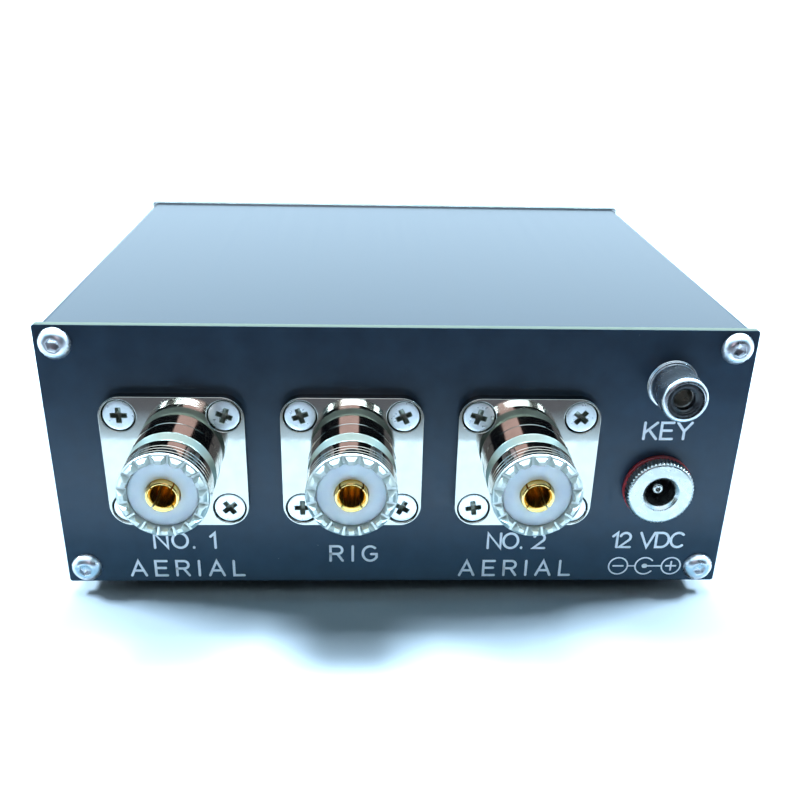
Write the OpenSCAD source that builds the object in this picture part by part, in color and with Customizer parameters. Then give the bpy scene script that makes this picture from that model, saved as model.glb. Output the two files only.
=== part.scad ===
// Station box for two aerials: a two-channel receiving phaser and antenna tuner in a split
// extruded case, with three coaxial sockets, a keying jack and a power jack on its rear panel.
// Frame: +Z up, rear panel towards -Y, origin on the ground under the middle of the whole box.

/* [Case] */
// Width of the front and rear panels
panel_w = 125; // [125:1:130]
// Height of the front and rear panels
panel_h = 51; // [51:1:54]
// Thickness of the panels
panel_t = 1.6; // [1.5:0.1:1.8]
// Length of the extruded shells between the panels
shell_len = 105; // [105:1:140]
// How far the panels stand out past the shells on every side
panel_overhang = 0.4; // [0.3:0.1:0.5]
// Wall of the extruded shells
wall = 1.8; // [1.6:0.1:2]
// Height of the rubber feet
foot_h = 3; // [2:0.5:6]
// Diameter of the rubber feet
foot_d = 10; // [8:1:12]

/* [Coaxial sockets] */
// Distance between the sockets
socket_pitch = 31.6; // [31:0.1:32]
// Place of the middle socket across the panel
socket_mid_x = -8.4; // [-9:0.1:-7]
// Height of the sockets above the panel's lower edge
socket_z = 26.1; // [26:0.1:27]
// Reach of the crown past the panel
socket_reach = 15.6; // [15.6:0.1:17]
// Side of the square flange
flange_w = 25.4; // [25:0.1:26]
// Distance between the flange holes
flange_pitch = 18.3; // [18:0.1:18.4]
// Bore of the centre contact
contact_bore_d = 4.1; // [4:0.1:4.2]

/* [Small jacks] */
// Place of both small jacks across the panel
jack_x = 48.4; // [47:0.1:49]
// Height of the phono jack above the panel's lower edge
phono_z = 41; // [40:0.1:41]
// Height of the power jack above the panel's lower edge
power_z = 20.7; // [20:0.1:22]
// Outer diameter of the phono jack's sleeve
phono_d = 8.2; // [8:0.1:8.4]
// Diameter of the power jack's knurled head
power_head_d = 12.6; // [12:0.1:13]
// Bore of the power jack
power_bore_d = 5.6; // [5.5:0.1:5.8]
// Diameter of the power jack's centre pin
power_pin_d = 2.1; // [2:0.1:2.5]

/* [Controls] */
// Places of the three knobs across the front panel, seen from the rear
knob_x = [38, 6, -26];
// Diameter of the knobs
knob_d = 20; // [18:1:22]
// Length of the knobs
knob_len = 16; // [16:1:18]
// Gap between a knob and the front panel
knob_gap = 1; // [0.8:0.1:1.5]
// Diameter of the control shafts
shaft_d = 6; // [6:0.35:6.35]
// Place of the power switch and the lamp across the front panel, seen from the rear
switch_x = -49; // [-50:1:-46]
// Tilt of the switch lever each way from its middle
lever_tilt = 13; // [10:1:13]

/* [Hidden] */

$fn = 64;
eps = 0.01;
slip = 0.02;                       // gap left round a piece that is pressed or screwed in

// Case
knob_reach = knob_gap + knob_len;
depth = socket_reach + 2 * panel_t + shell_len + knob_reach;
rear_y = socket_reach - depth / 2;             // outer face of the rear panel
rear_in = rear_y + panel_t;                    // inner face of the rear panel
front_in = rear_in + shell_len;                // inner face of the front panel
front_y = front_in + panel_t;                  // outer face of the front panel
panel_z = foot_h - panel_overhang;             // lower edge of the panels
mid_z = panel_z + panel_h / 2;
shell_w = panel_w - 2 * panel_overhang;
shell_h = panel_h - 2 * panel_overhang;
shell_r = 1.2;
screw_x = panel_w / 2 - 3.6;       // corner screws, from the panel's middle
screw_dz = panel_h / 2 - 3.2;
boss_r = 2.7;
m3_r = 1.5;
m3_hole_r = 1.7;
corner_head_r = 2.85;
corner_head_h = 1.65;
corner_screw_len = 8;

// Board, carried in the lower shell's slots
board_t = 1.6;
board_base = panel_z + 12;
board_top = board_base + board_t;
slot_depth = 2;
slot_rib = 1;
board_w = shell_w - 2 * wall - 1;
board_y0 = rear_in + 6;
board_y1 = front_in - 0.5;

// Coaxial sockets, with heights counted outwards from the panel
flange_t = 2;
flange_r = 4;
barrel_r = 7.85;
relief_r = 6.85;
relief_start = 5.9;
thread_start = 9.6;
thread_pitch = 25.4 / 24;
thread_depth = 0.42;
thread_turns = 4;
thread_end = thread_start + 0.4 + thread_turns * thread_pitch;
crown_teeth = 16;
crown_depth = 1.15;
crown_r = 6.95;
insulator_r = 5.95;
panel_bore_r = insulator_r + 0.4;  // of the panel's hole behind each socket
insulator_face = socket_reach - 1.5;
contact_face = socket_reach - 0.4;
contact_r = 2.8;
contact_stem_r = 1.6;
contact_tail = -11;
cup_depth = 3;                     // of the solder cups on the contacts' tails
contact_bore_len = 11;
slit_w = 0.35;
socket_x = [socket_mid_x - socket_pitch, socket_mid_x, socket_mid_x + socket_pitch];
flat_head_r = 2.75;
flat_head_t = 1.25;
flat_head_sunk = 0.25;
flat_screw_len = 8;
m3_nut_af = 5.5;
m3_nut_h = 2.4;
lock_washer_t = 0.7;
tag_t = 0.5;
head_turn = [[12, 0, 38, 70], [0, 20, 60, 25], [8, 72, 15, 50]];   // angle of each driver cross

// Phono jack
phono_reach = 8.2;
phono_round = 0.85;
phono_rim_r = phono_d / 2 + 0.45;
phono_rim_h = 0.8;
phono_thread_r = 3.1;
phono_mouth_r = 3.2;
phono_bore_r = 1.65;
phono_contact_r = 2.1;
phono_sleeve_bore_r = 2.7;         // of the sleeve's threaded part
phono_tail = -panel_t - 11;

// Power jack
power_head_h = 2.5;
power_washer_t = 0.8;
power_face = power_head_h + power_washer_t;
power_thread_r = 4;
power_len = 9;
knurls = 54;
power_pin_face = power_face - 1.7;
power_pin_root_r = 0.8;            // of the pin's part that is held in the insulator
power_bore_bottom = 1.5 - power_len;
power_tail = -power_len - 6;

// Controls
shaft_r = shaft_d / 2;
running = 0.05;                    // radial gap of a turning shaft
pot_r = 8.2;
pot_len = 7.8;
pot_plate_t = 1;
bushing_r = 3.5;
bushing_len = 7;
pot_back = -panel_t - pot_plate_t - pot_len;
wiper_r = 6.2;
wiper_t = 1.2;
chamber_r = wiper_r + 0.8;         // room inside the pot for the wiper disc on its shaft
chamber_h = 3;
chamber_z = pot_back + 2.6;
wafer_w = 15;                      // board-mounting wafer in front of the pot's can
wafer_t = 1.4;
knob_r = knob_d / 2;
knob_top_r = knob_r - 0.7;
knob_pocket_r = 7.2;
knob_pocket_top = 5.9;
shaft_end = knob_reach - 3;
flutes = 30;
set_screw_z = 10;
set_screw_r = 1.5;
pot_nut_af = 10;
pot_nut_h = 2;
pot_washer_t = 0.5;
switch_z = socket_z;
switch_bushing_r = 3;
switch_bushing_top = 6.2;
switch_bore_r = 2.45;
lever_pivot = 2.6;                 // height of the lever's pivot above the front panel
lever_len = 13;
lever_ball_r = 2.05;
switch_w = 7.9;
switch_h = 13;
switch_len = 9.5;
switch_lug_pitch = 4.7;
switch_tail = -panel_t - switch_len - 4;
lamp_z = 41;
lamp_r = 1.5;
lamp_lead_pitch = 2.54;
lamp_lead_run = 11.2;              // takes the lamp's leads past the back of the switch
lamp_holder_r = 2.5;

// Parts on the board, each at [across, along] with the body's sizes after it
relay_size = [15.5, 19, 15.3];
relay_at = [[socket_x[0] + 12, rear_in + 23], [socket_x[1] + 12, rear_in + 23]];
core_in = 3.85;
core_out = 6.35;
core_h = 4.8;
core_at = [[-44, 2], [-24, 2], [-4, 2], [16, 2]];
core_turns = 11;
turn_angle = 27;
turn_r = 3.2;
turn_wire_r = 0.3;
core_lift = turn_r + turn_wire_r + 0.1;
can_at = [[47, rear_in + 26, 4, 11.5], [47, rear_in + 37, 4, 11.5],
    [36, rear_in + 26, 3.15, 11], [-50, 22, 3.15, 11], [30, 20, 2.5, 11], [-14, 20, 2.5, 11]];
transistor_at = [[-36, 24], [-28, 24], [-2, 24], [6, 24], [20, 26], [40, 26]];
transistor_r = 2.3;
transistor_h = 4.6;
transistor_lift = 3;
pin_pitch = 1.27;
arrester_r = 4;
arrester_len = 6;

// ---------------------------------------------------------------- placing

// Children stand on the rear panel's outer face, with their +Z outwards and +Y upwards
module on_rear(x, z) translate([x, rear_y, panel_z + z]) rotate([90, 0, 0]) children();

// The same on the front panel's outer face
module on_front(x, z) translate([x, front_y, panel_z + z]) rotate([90, 0, 180]) children();

module at_flange_holes() {
    for (sx = [-1, 1])
        for (sy = [-1, 1])
            translate([sx * flange_pitch / 2, sy * flange_pitch / 2, 0]) children();
}

module at_panel_corners() {
    for (sx = [-1, 1])
        for (sz = [-1, 1]) translate([sx * screw_x, sz * screw_dz, 0]) children();
}

// ---------------------------------------------------------------- shared shapes

module tube(outer, inner, h) {
    difference() {
        cylinder(r = outer, h = h);
        translate([0, 0, -1]) cylinder(r = inner, h = h + 2);
    }
}

// A hexagon nut with its outer corners turned off
module hex_nut(af, hole_r, h) {
    corner_r = af / 2 / cos(30);
    difference() {
        intersection() {
            cylinder(r = corner_r, h = h, $fn = 6);
            union() {
                cylinder(r1 = corner_r - 0.35, r2 = corner_r, h = 0.25, $fn = 48);
                translate([0, 0, 0.25]) cylinder(r = corner_r, h = h - 0.5, $fn = 48);
                translate([0, 0, h - 0.25])
                    cylinder(r1 = corner_r, r2 = corner_r - 0.35, h = 0.25, $fn = 48);
            }
        }
        translate([0, 0, -1]) cylinder(r = hole_r, h = h + 2);
    }
}

module rounded_square(w, r, h) {
    linear_extrude(height = h) union() {
        square([w, w - 2 * r], center = true);
        square([w - 2 * r, w], center = true);
        for (sx = [-1, 1])
            for (sy = [-1, 1]) translate([sx * (w / 2 - r), sy * (w / 2 - r)]) circle(r = r);
    }
}

// Wire that runs outwards along +Z, bends to -Y and goes on, for joints inside the case
module bent_wire(run, drop, bend_r, r) {
    cylinder(r = r, h = run);
    translate([0, -bend_r, run]) rotate([0, 0, 90]) rotate([90, 0, 0])
        rotate_extrude(angle = 90) translate([bend_r, 0]) circle(r = r, $fn = 24);
    translate([0, -bend_r, run + bend_r]) rotate([90, 0, 0]) cylinder(r = r, h = drop);
}

// ---------------------------------------------------------------- case

// Cross-section of one shell, drawn as the lower one with its parting line at y = 0
module shell_section() {
    w = shell_w;
    h = shell_h / 2;
    joint_x = w / 2 - wall / 2;
    difference() {
        union() {
            difference() {
                union() {
                    translate([-w / 2, -h + shell_r]) square([w, h - shell_r]);
                    translate([-w / 2 + shell_r, -h]) square([w - 2 * shell_r, h]);
                    for (s = [-1, 1]) translate([s * (w / 2 - shell_r), -h + shell_r])
                        circle(r = shell_r);
                }
                translate([-w / 2 + wall, -h + wall]) square([w - 2 * wall, h]);
            }
            for (s = [-1, 1]) translate([s * screw_x, -screw_dz]) circle(r = boss_r);
            shell_ribs();
            translate([-joint_x - 0.35, -eps]) square([0.7, 1.2]);
        }
        for (s = [-1, 1]) translate([s * screw_x, -screw_dz]) circle(r = m3_r + slip);
        translate([joint_x - 0.4, -1.3]) square([0.8, 1.3 + eps]);
    }
}

// Ribs that make the board slots on both side walls
module shell_ribs() {
    wall_x = shell_w / 2 - wall;
    slot_low = board_base - mid_z - 0.1;
    slot_high = board_top - mid_z + 0.1;
    for (s = [-1, 1])
        for (z = [slot_low - slot_rib, slot_high])
            translate([s * (wall_x - slot_depth / 2 + 0.1), z + slot_rib / 2])
                square([slot_depth + 0.2, slot_rib], center = true);
}

module shell() {
    rotate([90, 0, 0]) linear_extrude(height = shell_len, center = true) shell_section();
}

module lower_shell() {
    color([0.13, 0.14, 0.16]) translate([0, (rear_in + front_in) / 2, mid_z]) shell();
}

module upper_shell() {
    color([0.13, 0.14, 0.16])
        translate([0, (rear_in + front_in) / 2, mid_z]) rotate([0, 180, 0]) shell();
}

// Panel plate with its four corner holes, outwards along +Z from its inner face
module panel_plate() {
    difference() {
        translate([0, 0, panel_t / 2]) cube([panel_w, panel_h, panel_t], center = true);
        at_panel_corners() translate([0, 0, -1]) cylinder(r = m3_hole_r, h = panel_t + 2);
    }
}

module rear_panel() {
    color([0.08, 0.11, 0.15]) difference() {
        on_rear(0, panel_h / 2) translate([0, 0, -panel_t]) panel_plate();
        for (x = socket_x) on_rear(x, socket_z) {
            panel_hole(panel_bore_r);
            at_flange_holes() panel_hole(m3_hole_r);
        }
        on_rear(jack_x, phono_z) panel_hole(phono_thread_r + 0.1);
        on_rear(jack_x, power_z) panel_hole(power_thread_r + 0.1);
    }
}

module panel_hole(r) {
    translate([0, 0, -panel_t - 1]) cylinder(r = r, h = panel_t + 2);
}

module front_panel() {
    color([0.08, 0.11, 0.15]) difference() {
        on_front(0, panel_h / 2) translate([0, 0, -panel_t]) panel_plate();
        for (x = knob_x) on_front(x, socket_z) panel_hole(bushing_r + 0.1);
        on_front(switch_x, switch_z) panel_hole(switch_bushing_r + 0.1);
        on_front(switch_x, lamp_z) panel_hole(lamp_holder_r + 0.1);
    }
}

// Round-headed screw with a hexagon socket, standing on a face with its shank behind it
module button_screw() {
    dome_r = (corner_head_r * corner_head_r + corner_head_h * corner_head_h)
        / (2 * corner_head_h);
    difference() {
        union() {
            intersection() {
                translate([0, 0, corner_head_h - dome_r]) sphere(r = dome_r, $fn = 96);
                cylinder(r = corner_head_r, h = corner_head_h);
            }
            translate([0, 0, -corner_screw_len])
                cylinder(r = m3_r, h = corner_screw_len + 0.1);
        }
        translate([0, 0, 0.6]) rotate([0, 0, 15])
            cylinder(r = 1 / cos(30), h = corner_head_h, $fn = 6);
        translate([0, 0, 0.35]) cylinder(r1 = 0.2, r2 = 0.9, h = 0.26, $fn = 24);
    }
}

module rear_panel_screws() {
    color("lightgray") on_rear(0, panel_h / 2) at_panel_corners() button_screw();
}

module front_panel_screws() {
    color("lightgray") on_front(0, panel_h / 2) at_panel_corners() button_screw();
}

module rubber_feet() {
    inset = foot_d / 2 + 6;
    color([0.1, 0.1, 0.1])
        for (sx = [-1, 1])
            for (y = [rear_in + inset, front_in - inset])
                translate([sx * (shell_w / 2 - inset), y, 0])
                    cylinder(r1 = foot_d / 2 - 0.5, r2 = foot_d / 2, h = foot_h);
}

// ---------------------------------------------------------------- coaxial sockets

// Outline of the barrel: plain root, relief groove, thread, rounded collar and crown
function barrel_outline() = concat(
    [[insulator_r + slip, 0.5], [barrel_r, 0.5], [barrel_r, relief_start],
     [relief_r, relief_start + 1.1], [relief_r, thread_start - 0.4],
     [barrel_r, thread_start]],
    [for (i = [0 : thread_turns - 1])
        let (z = thread_start + 0.4 + i * thread_pitch)
        each [[barrel_r, z], [barrel_r - thread_depth, z + 0.3],
              [barrel_r, z + 0.6]]],
    [[barrel_r, thread_end], [barrel_r - 0.3, thread_end + 0.45],
     [barrel_r - 0.42, thread_end + 0.5], [barrel_r - 0.38, thread_end + 0.6],
     [crown_r, socket_reach], [insulator_r + 0.3, socket_reach],
     [insulator_r + slip, insulator_face]]);

module crown_notch() {
    translate([barrel_r - 1, 0, socket_reach]) rotate([90, 0, 90])
        linear_extrude(height = 5, center = true)
            polygon([[-0.85, eps], [-0.2, -crown_depth], [0.2, -crown_depth], [0.85, eps]]);
}

module socket_shell() {
    color([0.8, 0.79, 0.76]) difference() {
        union() {
            rounded_square(flange_w, flange_r, flange_t);
            rotate_extrude() polygon(barrel_outline());
        }
        translate([0, 0, -1]) cylinder(r = insulator_r + slip, h = flange_t + 1);
        at_flange_holes() {
            translate([0, 0, -1]) cylinder(r = m3_r + 0.1, h = flange_t + 2);
            translate([0, 0, flange_t - flat_head_t - flat_head_sunk])
                cylinder(r1 = m3_r + 0.1, r2 = flat_head_r + 0.6,
                         h = flat_head_t + flat_head_sunk + eps);
        }
        for (i = [0 : crown_teeth - 1]) rotate([0, 0, (i + 0.5) * 360 / crown_teeth])
            crown_notch();
    }
}

module socket_insulator() {
    color([0.93, 0.95, 0.98]) rotate_extrude() polygon([
        [contact_stem_r + slip, -panel_t - 3], [insulator_r - 0.8, -panel_t - 3],
        [insulator_r, -panel_t - 2.2], [insulator_r, insulator_face - 0.2],
        [insulator_r - 0.2, insulator_face], [contact_r + 0.1, insulator_face],
        [contact_r + 0.1, 1], [contact_stem_r + slip, 1]]);
}

module socket_contact() {
    bore_r = contact_bore_d / 2;
    color([0.85, 0.65, 0.25]) difference() {
        rotate_extrude() polygon([
            [0, contact_tail], [contact_stem_r, contact_tail], [contact_stem_r, 1],
            [contact_r, 1], [contact_r, contact_face - 0.15],
            [contact_r - 0.15, contact_face], [0, contact_face]]);
        translate([0, 0, contact_face - contact_bore_len])
            cylinder(r = bore_r, h = contact_bore_len + 1);
        translate([0, 0, contact_face - 0.45])
            cylinder(r1 = bore_r, r2 = bore_r + 0.5, h = 0.5);
        for (a = [45, 135]) rotate([0, 0, a])
            translate([-contact_r - 1, -slit_w / 2, contact_face - contact_bore_len + 2])
                cube([2 * contact_r + 2, slit_w, contact_bore_len]);
        translate([0, 0, contact_tail - 1]) cylinder(r = 1.1, h = cup_depth + 1);
    }
}

module antenna_1_socket_shell() on_rear(socket_x[0], socket_z) socket_shell();
module antenna_1_socket_insulator() on_rear(socket_x[0], socket_z) socket_insulator();
module antenna_1_socket_contact() on_rear(socket_x[0], socket_z) socket_contact();
module radio_socket_shell() on_rear(socket_x[1], socket_z) socket_shell();
module radio_socket_insulator() on_rear(socket_x[1], socket_z) socket_insulator();
module radio_socket_contact() on_rear(socket_x[1], socket_z) socket_contact();
module antenna_2_socket_shell() on_rear(socket_x[2], socket_z) socket_shell();
module antenna_2_socket_insulator() on_rear(socket_x[2], socket_z) socket_insulator();
module antenna_2_socket_contact() on_rear(socket_x[2], socket_z) socket_contact();

// Countersunk screw, its head's face a little below the flange's face
module flat_screw(turn) {
    face = flange_t - flat_head_sunk;
    difference() {
        union() {
            translate([0, 0, face - flat_head_t])
                cylinder(r1 = m3_r, r2 = flat_head_r, h = flat_head_t - 0.2);
            translate([0, 0, face - 0.2]) cylinder(r = flat_head_r, h = 0.2);
            translate([0, 0, face - flat_screw_len]) cylinder(r = m3_r, h = flat_screw_len - 1);
        }
        rotate([0, 0, turn]) driver_cross(face);
    }
}

module driver_cross(face) {
    for (a = [0, 90]) rotate([0, 0, a]) translate([0, 0, face]) rotate([90, 0, 0])
        linear_extrude(height = 0.7, center = true)
            polygon([[-1.55, eps], [-0.9, -1], [0.9, -1], [1.55, eps]]);
}

module socket_screws() {
    color([0.75, 0.8, 0.85])
        for (i = [0 : 2]) on_rear(socket_x[i], socket_z)
            for (sx = [0, 1])
                for (sy = [0, 1])
                    translate([(sx - 0.5) * flange_pitch, (sy - 0.5) * flange_pitch, 0])
                        flat_screw(head_turn[i][2 * sx + sy]);
}

// Solder tag for the cable's ground under one upper nut of each socket
module socket_ground_tags() {
    color([0.8, 0.78, 0.7])
        for (x = socket_x) on_rear(x, socket_z)
            translate([flange_pitch / 2, flange_pitch / 2, -panel_t - tag_t]) difference() {
                union() {
                    cylinder(r = 3, h = tag_t);
                    translate([0, -1.5, 0]) cube([7.5, 3, tag_t]);
                }
                translate([0, 0, -1]) cylinder(r = m3_r + 0.1, h = tag_t + 2);
                translate([6, 0, -1]) cylinder(r = 0.7, h = tag_t + 2);
            }
}

// Where the stack behind one flange screw starts: lower down where a ground tag lies
function stack_base(sx, sy) = -panel_t - (sx == 1 && sy == 1 ? tag_t : 0);

module socket_washers() {
    color([0.7, 0.72, 0.74])
        for (x = socket_x) on_rear(x, socket_z)
            for (sx = [-1, 1])
                for (sy = [-1, 1])
                    translate([sx * flange_pitch / 2, sy * flange_pitch / 2,
                               stack_base(sx, sy) - lock_washer_t]) difference() {
                        tube(2.8, m3_r + slip, lock_washer_t);
                        translate([0, -0.2, -1]) cube([4, 0.4, 4]);
                    }
}

module socket_nuts() {
    color([0.78, 0.8, 0.82])
        for (x = socket_x) on_rear(x, socket_z)
            for (sx = [-1, 1])
                for (sy = [-1, 1])
                    translate([sx * flange_pitch / 2, sy * flange_pitch / 2,
                               stack_base(sx, sy) - lock_washer_t - m3_nut_h])
                        hex_nut(m3_nut_af, m3_r + slip, m3_nut_h);
}

// ---------------------------------------------------------------- phono jack

// Points of a quarter round from radius r1 at height z1 in to r1 - c at z1 + c
function quarter_round(r1, z1, c, steps) = [for (i = [0 : steps])
    let (a = 90 * i / steps) [r1 - c + c * cos(a), z1 + c * sin(a)]];

module phono_jack_sleeve() {
    r = phono_d / 2;
    color([0.75, 0.75, 0.76]) on_rear(jack_x, phono_z) rotate_extrude() polygon(concat(
        [[phono_sleeve_bore_r, -panel_t - 6], [phono_thread_r, -panel_t - 6], [phono_thread_r, 0],
         [phono_rim_r, 0], [phono_rim_r, phono_rim_h - 0.2],
         [phono_rim_r - 0.2, phono_rim_h], [r, phono_rim_h]],
        quarter_round(r, phono_reach - phono_round, phono_round, 8),
        [[phono_mouth_r + slip, phono_reach - 0.15], [phono_mouth_r + slip, 1.5],
         [phono_sleeve_bore_r, 1.5]]));
}

module phono_jack_insulator() {
    face = phono_reach - 0.35;
    color([0.06, 0.06, 0.07]) on_rear(jack_x, phono_z) rotate_extrude() polygon([
        [phono_contact_r + slip, -panel_t - 7], [phono_sleeve_bore_r - slip, -panel_t - 7],
        [phono_sleeve_bore_r - slip, 1.5 + slip], [phono_mouth_r, 1.5 + slip],
        [phono_mouth_r, face],
        [2.35, face], [1.85, face - 0.5], [1.85, 6.2], [phono_contact_r + slip, 6.2]]);
}

module phono_jack_contact() {
    color([0.8, 0.75, 0.6]) on_rear(jack_x, phono_z) difference() {
        translate([0, 0, phono_tail]) cylinder(r = phono_contact_r, h = 6.2 - slip - phono_tail);
        translate([0, 0, -panel_t]) cylinder(r = phono_bore_r, h = 20);
        translate([0, 0, phono_tail - 1]) cylinder(r = 1.2, h = cup_depth + 1);
    }
}

module phono_jack_ground_tag() {
    color([0.8, 0.78, 0.7]) on_rear(jack_x, phono_z)
        translate([0, 0, -panel_t - tag_t]) difference() {
            union() {
                cylinder(r = 5.2, h = tag_t);
                translate([-10, -1.5, 0]) cube([10, 3, tag_t]);
            }
            translate([0, 0, -1]) cylinder(r = phono_thread_r + slip, h = tag_t + 2);
            translate([-8.5, 0, -1]) cylinder(r = 0.8, h = tag_t + 2);
        }
}

module phono_jack_nut() {
    color([0.75, 0.76, 0.78]) on_rear(jack_x, phono_z)
        translate([0, 0, -panel_t - tag_t - 2]) hex_nut(9, phono_thread_r + slip, 2);
}

// ---------------------------------------------------------------- power jack

module power_jack_shell() {
    head_r = power_head_d / 2;
    bore_r = power_bore_d / 2;
    color([0.8, 0.8, 0.79]) on_rear(jack_x, power_z) difference() {
        rotate_extrude() polygon([
            [bore_r, -power_len], [power_thread_r, -power_len], [power_thread_r, power_washer_t],
            [head_r - 0.3, power_washer_t], [head_r, power_washer_t + 0.3],
            [head_r, power_face - 0.5], [head_r - 0.5, power_face], [bore_r + 0.4, power_face],
            [bore_r, power_face - 0.5]]);
        for (i = [0 : knurls - 1]) rotate([0, 0, i * 360 / knurls])
            translate([head_r + 0.1, 0, power_washer_t - 0.1]) rotate([0, 0, 45])
                cube([0.42, 0.42, 2 * power_head_h], center = true);
    }
}

module power_jack_washer() {
    color([0.75, 0.16, 0.2]) on_rear(jack_x, power_z)
        tube(power_head_d / 2 + 0.15, power_thread_r + 0.05, power_washer_t);
}

module power_jack_nut() {
    color([0.75, 0.76, 0.78]) on_rear(jack_x, power_z)
        translate([0, 0, -panel_t - 2]) hex_nut(11, power_thread_r + slip, 2);
}

module power_jack_insulator() {
    bore_r = power_bore_d / 2;
    color([0.06, 0.06, 0.07]) on_rear(jack_x, power_z) rotate_extrude() polygon([
        [power_pin_root_r + slip, -power_len - 3], [4.6, -power_len - 3], [4.6, -power_len],
        [bore_r - slip, -power_len], [bore_r - slip, power_bore_bottom],
        [power_pin_root_r + slip, power_bore_bottom]]);
}

module power_jack_pin() {
    pin_r = power_pin_d / 2;
    color([0.8, 0.8, 0.79]) on_rear(jack_x, power_z) rotate_extrude() polygon([
        [0, power_tail], [0.6, power_tail], [0.6, -power_len - 3],
        [power_pin_root_r, -power_len - 3], [power_pin_root_r, power_bore_bottom + slip],
        [pin_r, power_bore_bottom + slip], [pin_r, power_pin_face - 0.35],
        [pin_r - 0.35, power_pin_face], [0.45, power_pin_face],
        [0.3, power_pin_face - 0.8], [0, power_pin_face - 0.8]]);
}

// Two flat solder tags on the back of the power jack, for its sleeve and its switch contact
module power_jack_terminals() {
    color([0.8, 0.78, 0.7]) on_rear(jack_x, power_z)
        for (s = [-1, 1]) difference() {
            translate([s * 3.2 - 1, -0.3, -power_len - 8]) cube([2, 0.6, 5]);
            translate([s * 3.2, 1, -power_len - 6.6]) rotate([90, 0, 0]) cylinder(r = 0.5, h = 2);
        }
}

// ---------------------------------------------------------------- controls

// Potentiometer with its threaded bushing through the panel and its wafer down to the board
module pot() {
    wafer_drop = panel_z + socket_z - board_top;
    color([0.55, 0.56, 0.55]) difference() {
        union() {
            translate([0, 0, pot_back]) cylinder(r = pot_r, h = pot_len);
            translate([-pot_r, -pot_r, -panel_t - pot_plate_t])
                cube([2 * pot_r, 2 * pot_r, pot_plate_t]);
            translate([-wafer_w / 2, -wafer_drop, -panel_t - pot_plate_t - wafer_t])
                cube([wafer_w, wafer_drop - 2, wafer_t + eps]);
            translate([0, 0, -panel_t - eps]) cylinder(r = bushing_r, h = bushing_len + eps);
        }
        translate([0, 0, chamber_z]) cylinder(r = chamber_r, h = chamber_h);
        translate([0, 0, pot_back + 1]) cylinder(r = shaft_r + running, h = 30);
    }
}

module pot_shaft() {
    wiper_z = chamber_z + (chamber_h - wiper_t) / 2;
    color([0.75, 0.68, 0.45]) union() {
        translate([0, 0, pot_back + 1.5]) cylinder(r = shaft_r, h = shaft_end - pot_back - 1.9);
        translate([0, 0, shaft_end - 0.4 - eps])
            cylinder(r1 = shaft_r, r2 = shaft_r - 0.4, h = 0.4);
        translate([0, 0, wiper_z]) cylinder(r = wiper_r, h = wiper_t);
    }
}

// Fluted knob; its pocket clears the nut, its bore takes the shaft and a radial grub screw
module knob() {
    color([0.12, 0.12, 0.13]) difference() {
        rotate_extrude() polygon(concat(
            [[shaft_r + slip, knob_pocket_top], [knob_pocket_r, knob_pocket_top],
             [knob_pocket_r, knob_gap], [knob_r - 0.4, knob_gap], [knob_r, knob_gap + 0.4],
             [knob_r, knob_gap + 2.2], [knob_r - 0.5, knob_gap + 2.6]],
            quarter_round(knob_top_r, knob_reach - 1, 1, 4),
            [[0, knob_reach], [0, shaft_end + 0.2], [shaft_r + slip, shaft_end + 0.2]]));
        for (i = [0 : flutes - 1]) rotate([0, 0, (i + 0.5) * 360 / flutes])
            translate([knob_r + 0.05, 0, knob_gap + 2.6]) cylinder(r = 0.8, h = knob_len, $fn = 24);
        translate([0, 0, set_screw_z]) rotate([90, 0, 0]) cylinder(r = set_screw_r + slip, h = 12);
        translate([-0.5, 2.5, knob_reach - 0.4]) cube([1, knob_r, 1]);
    }
}

module knob_screw() {
    color([0.3, 0.3, 0.32]) translate([0, 0, set_screw_z]) rotate([90, 0, 0]) difference() {
        translate([0, 0, shaft_r + slip]) cylinder(r = set_screw_r, h = 4.5);
        translate([0, 0, shaft_r + 3]) cylinder(r = 0.75 / cos(30), h = 3, $fn = 6);
    }
}

module gain_1_pot() on_front(knob_x[0], socket_z) pot();
module gain_1_shaft() on_front(knob_x[0], socket_z) pot_shaft();
module gain_1_knob() on_front(knob_x[0], socket_z) knob();
module gain_1_knob_screw() on_front(knob_x[0], socket_z) knob_screw();
module phase_pot() on_front(knob_x[1], socket_z) pot();
module phase_shaft() on_front(knob_x[1], socket_z) pot_shaft();
module phase_knob() on_front(knob_x[1], socket_z) knob();
module phase_knob_screw() on_front(knob_x[1], socket_z) knob_screw();
module gain_2_pot() on_front(knob_x[2], socket_z) pot();
module gain_2_shaft() on_front(knob_x[2], socket_z) pot_shaft();
module gain_2_knob() on_front(knob_x[2], socket_z) knob();
module gain_2_knob_screw() on_front(knob_x[2], socket_z) knob_screw();

module pot_washers() {
    color([0.75, 0.76, 0.78])
        for (x = knob_x) on_front(x, socket_z) tube(6, bushing_r + slip, pot_washer_t);
}

module pot_nuts() {
    color([0.75, 0.76, 0.78])
        for (x = knob_x) on_front(x, socket_z)
            translate([0, 0, pot_washer_t]) hex_nut(pot_nut_af, bushing_r + slip, pot_nut_h);
}

// Toggle switch; the chamber inside leaves room for the lever's tail to swing
module power_switch_body() {
    color([0.15, 0.2, 0.35]) on_front(switch_x, switch_z) difference() {
        union() {
            translate([-switch_w / 2, -switch_h / 2, -panel_t - switch_len])
                cube([switch_w, switch_h, switch_len]);
            translate([0, 0, -panel_t - eps])
                cylinder(r = switch_bushing_r, h = switch_bushing_top + panel_t + eps);
            for (i = [-1, 0, 1]) translate([-1, i * switch_lug_pitch - 0.4, switch_tail])
                cube([2, 0.8, 4 + eps]);
        }
        translate([0, 0, -panel_t - 2]) cylinder(r = switch_bore_r, h = 20);
        translate([-2.6, -5, -panel_t - switch_len + 1]) cube([5.2, 10, switch_len - 2]);
    }
}

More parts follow.
